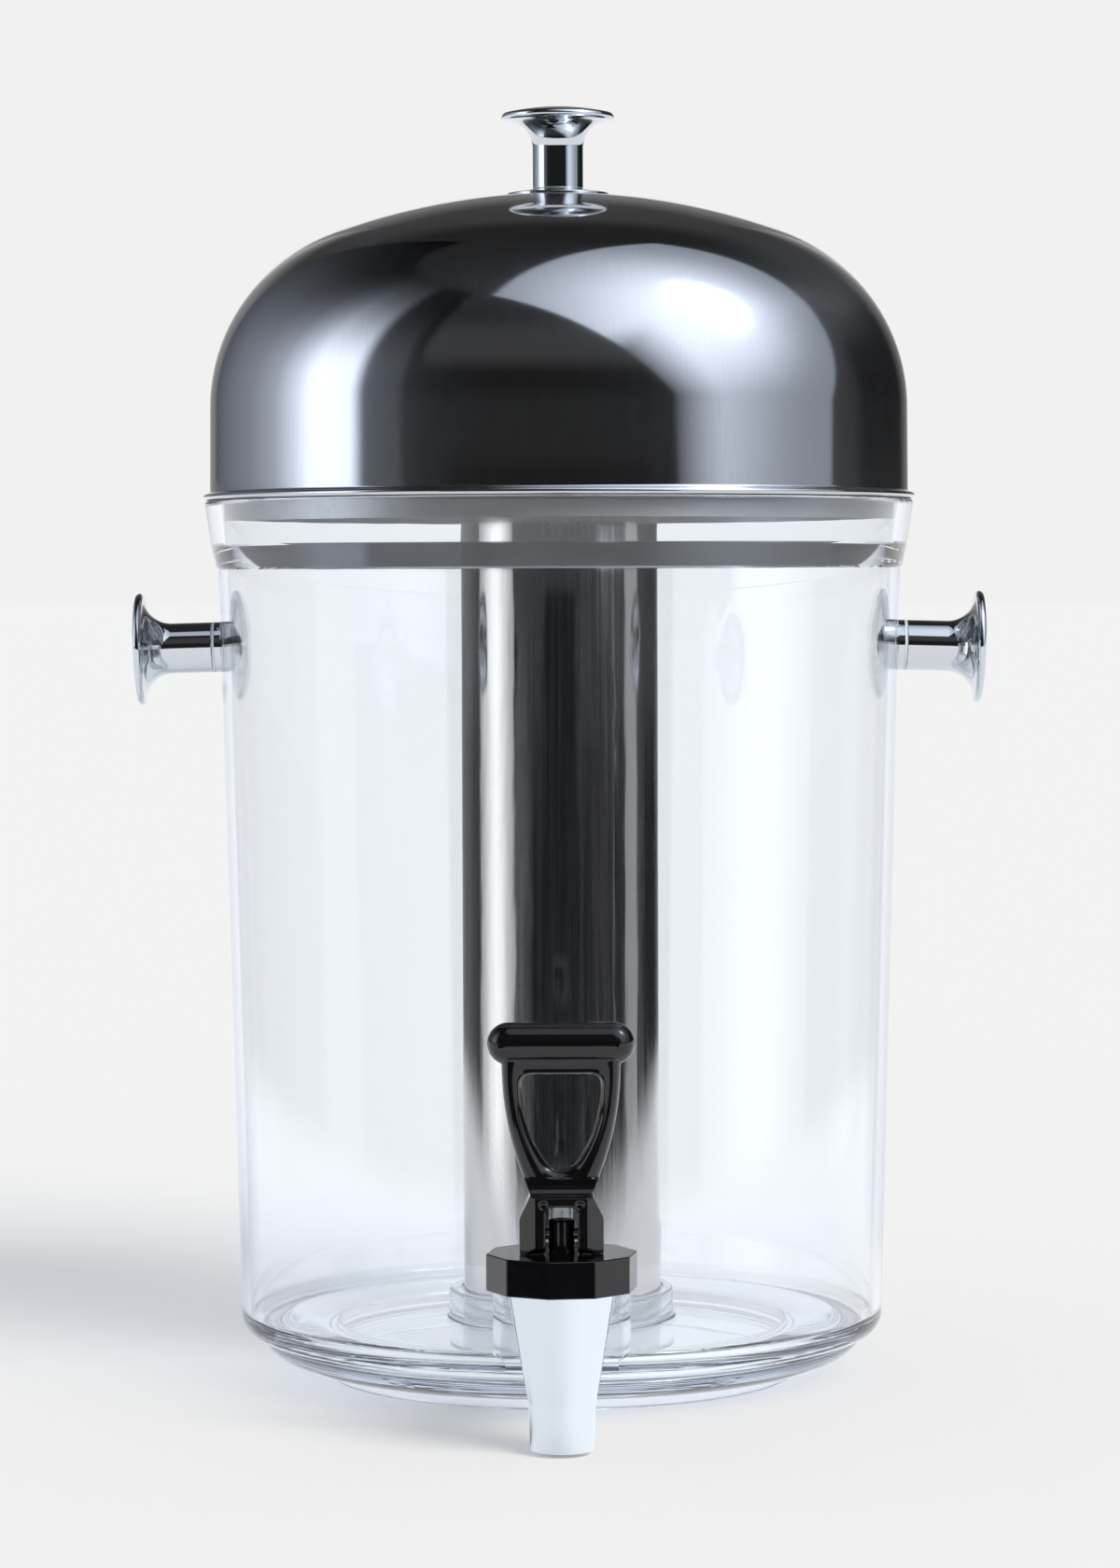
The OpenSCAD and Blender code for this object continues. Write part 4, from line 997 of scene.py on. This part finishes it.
room_turns, whole_turn = evenly(-170, 170, 170), evenly(-180, 180, 180)
room_card("dark_room", room_turns, [LEVEL, EAVES], ROOM_FAR, room_grey, FLAG)
room_card("dark_room_low", room_turns, [-60, -30, -15, LEVEL], ROOM_FAR, room_grey, LOW_FLAG)
room_card("ceiling", whole_turn, [EAVES] + evenly(CEILING_FROM, 26, 5) + [HIGH], ROOM_FAR,
          ceiling_grey, CEILING)
room_card("ceiling_over", whole_turn, evenly(HIGH, 63, 6) + [75, TOP], ROOM_FAR, ceiling_grey, FLAG)
key_softbox()
room_card("fill_card", evenly(-152, -46, 106), evenly(LEVEL, FILL_HIGH, 40), CARD_FAR, fill_grey, FLAG, COOL)
room_card("fill_card_low", evenly(-106, -55, 17), [CARD_LOW, LEVEL], CARD_FAR, low_fill_grey, LOW_FLAG)
for name, stops in (("white_strip", WHITE_STRIP), ("slit", SLIT)):
    room_card(name, [a for a, grey in stops], [CARD_LOW, LEVEL], CARD_FAR,
              lambda azimuth, elevation: along(stops, azimuth), LOW_FLAG)
# The camera's side is dark in front of the vessel, and a low black screen stands in front of the tap
screen("front_screen", Vector((0, 0, 0)), *FRONT_SCREEN, FRONT_FLAG)
screen("tap_screen", SPOUT_FOOT, *TAP_SCREEN, TAP_FLAG)
# The card below the spout paints the table's light, shade and shadow streak into the spout's reflection.
painted_tap_reflection_card()


# Lamp and world

KEY_ENERGY, KEY_WARM, KEY_SOFT, KEY_FROM = 2.38, (1.0, 0.935, 0.86), 30, (42, 42)
SOFT_LIGHT = (0.512, 0.55, 0.593, 1.0)

key = bpy.data.lights.new("key", "SUN")
key.energy = KEY_ENERGY
key.color = KEY_WARM
key.angle = math.radians(KEY_SOFT)
key.cycles.use_multiple_importance_sampling = False
key_lamp = bpy.data.objects.new("key", key)
key_lamp.rotation_euler = towards(*KEY_FROM).to_track_quat("Z", "Y").to_euler()
key_lamp.visible_glossy = False
scene.collection.objects.link(key_lamp)


def backdrop(tree):
    # A pale backdrop where it is seen, a little whiter through the clear plastic, and soft light elsewhere.
    path = add(tree, "ShaderNodeLightPath").outputs
    pale = add(tree, "ShaderNodeMix", {
        0: path["Is Transmission Ray"], FIRST_COLOUR: srgb("#F1F1F1"), SECOND_COLOUR: srgb("#FCFDFE")},
        data_type="RGBA").outputs[MIXED_COLOUR]
    sharp = add(tree, "ShaderNodeMath", {
        0: path["Is Camera Ray"], 1: path["Is Glossy Ray"]}, operation="MAXIMUM").outputs[0]
    seen = add(tree, "ShaderNodeMath", {
        0: sharp, 1: path["Diffuse Depth"]}, operation="GREATER_THAN").outputs[0]
    light = add(tree, "ShaderNodeMix", {0: seen, FIRST_COLOUR: SOFT_LIGHT, SECOND_COLOUR: pale},
                data_type="RGBA").outputs[MIXED_COLOUR]
    return add(tree, "ShaderNodeBackground", {"Color": light, "Strength": 1.0}).outputs["Background"]


world = bpy.data.worlds.new("studio")
world.use_nodes = True
world.node_tree.nodes.clear()
add(world.node_tree, "ShaderNodeOutputWorld", {"Surface": backdrop(world.node_tree)})
world.cycles.sampling_method = "NONE"
scene.world = world
scene.view_settings.view_transform = "Standard"
# Thick clear walls and the steel inside them need long light paths
scene.cycles.max_bounces = 24
scene.cycles.glossy_bounces = 12
scene.cycles.transmission_bounces = 24


# Camera: level with the collar, 1.6 m in front of the axis, turned a little as the photograph is

CAMERA_AT, CAMERA_DOWN, CAMERA_TURN, CAMERA_LENS = (0, -1.590, 0.265), 2.51, 0.2, 110.36

lens = bpy.data.cameras.new("camera")
lens.lens = CAMERA_LENS
lens.clip_end = 100
camera = bpy.data.objects.new("camera", lens)
camera.matrix_world = (Matrix.Translation(CAMERA_AT)
                       @ Matrix.Rotation(math.radians(90 - CAMERA_DOWN), 4, "X")
                       @ Matrix.Rotation(math.radians(-CAMERA_TURN), 4, "Z"))
scene.collection.objects.link(camera)
scene.camera = camera
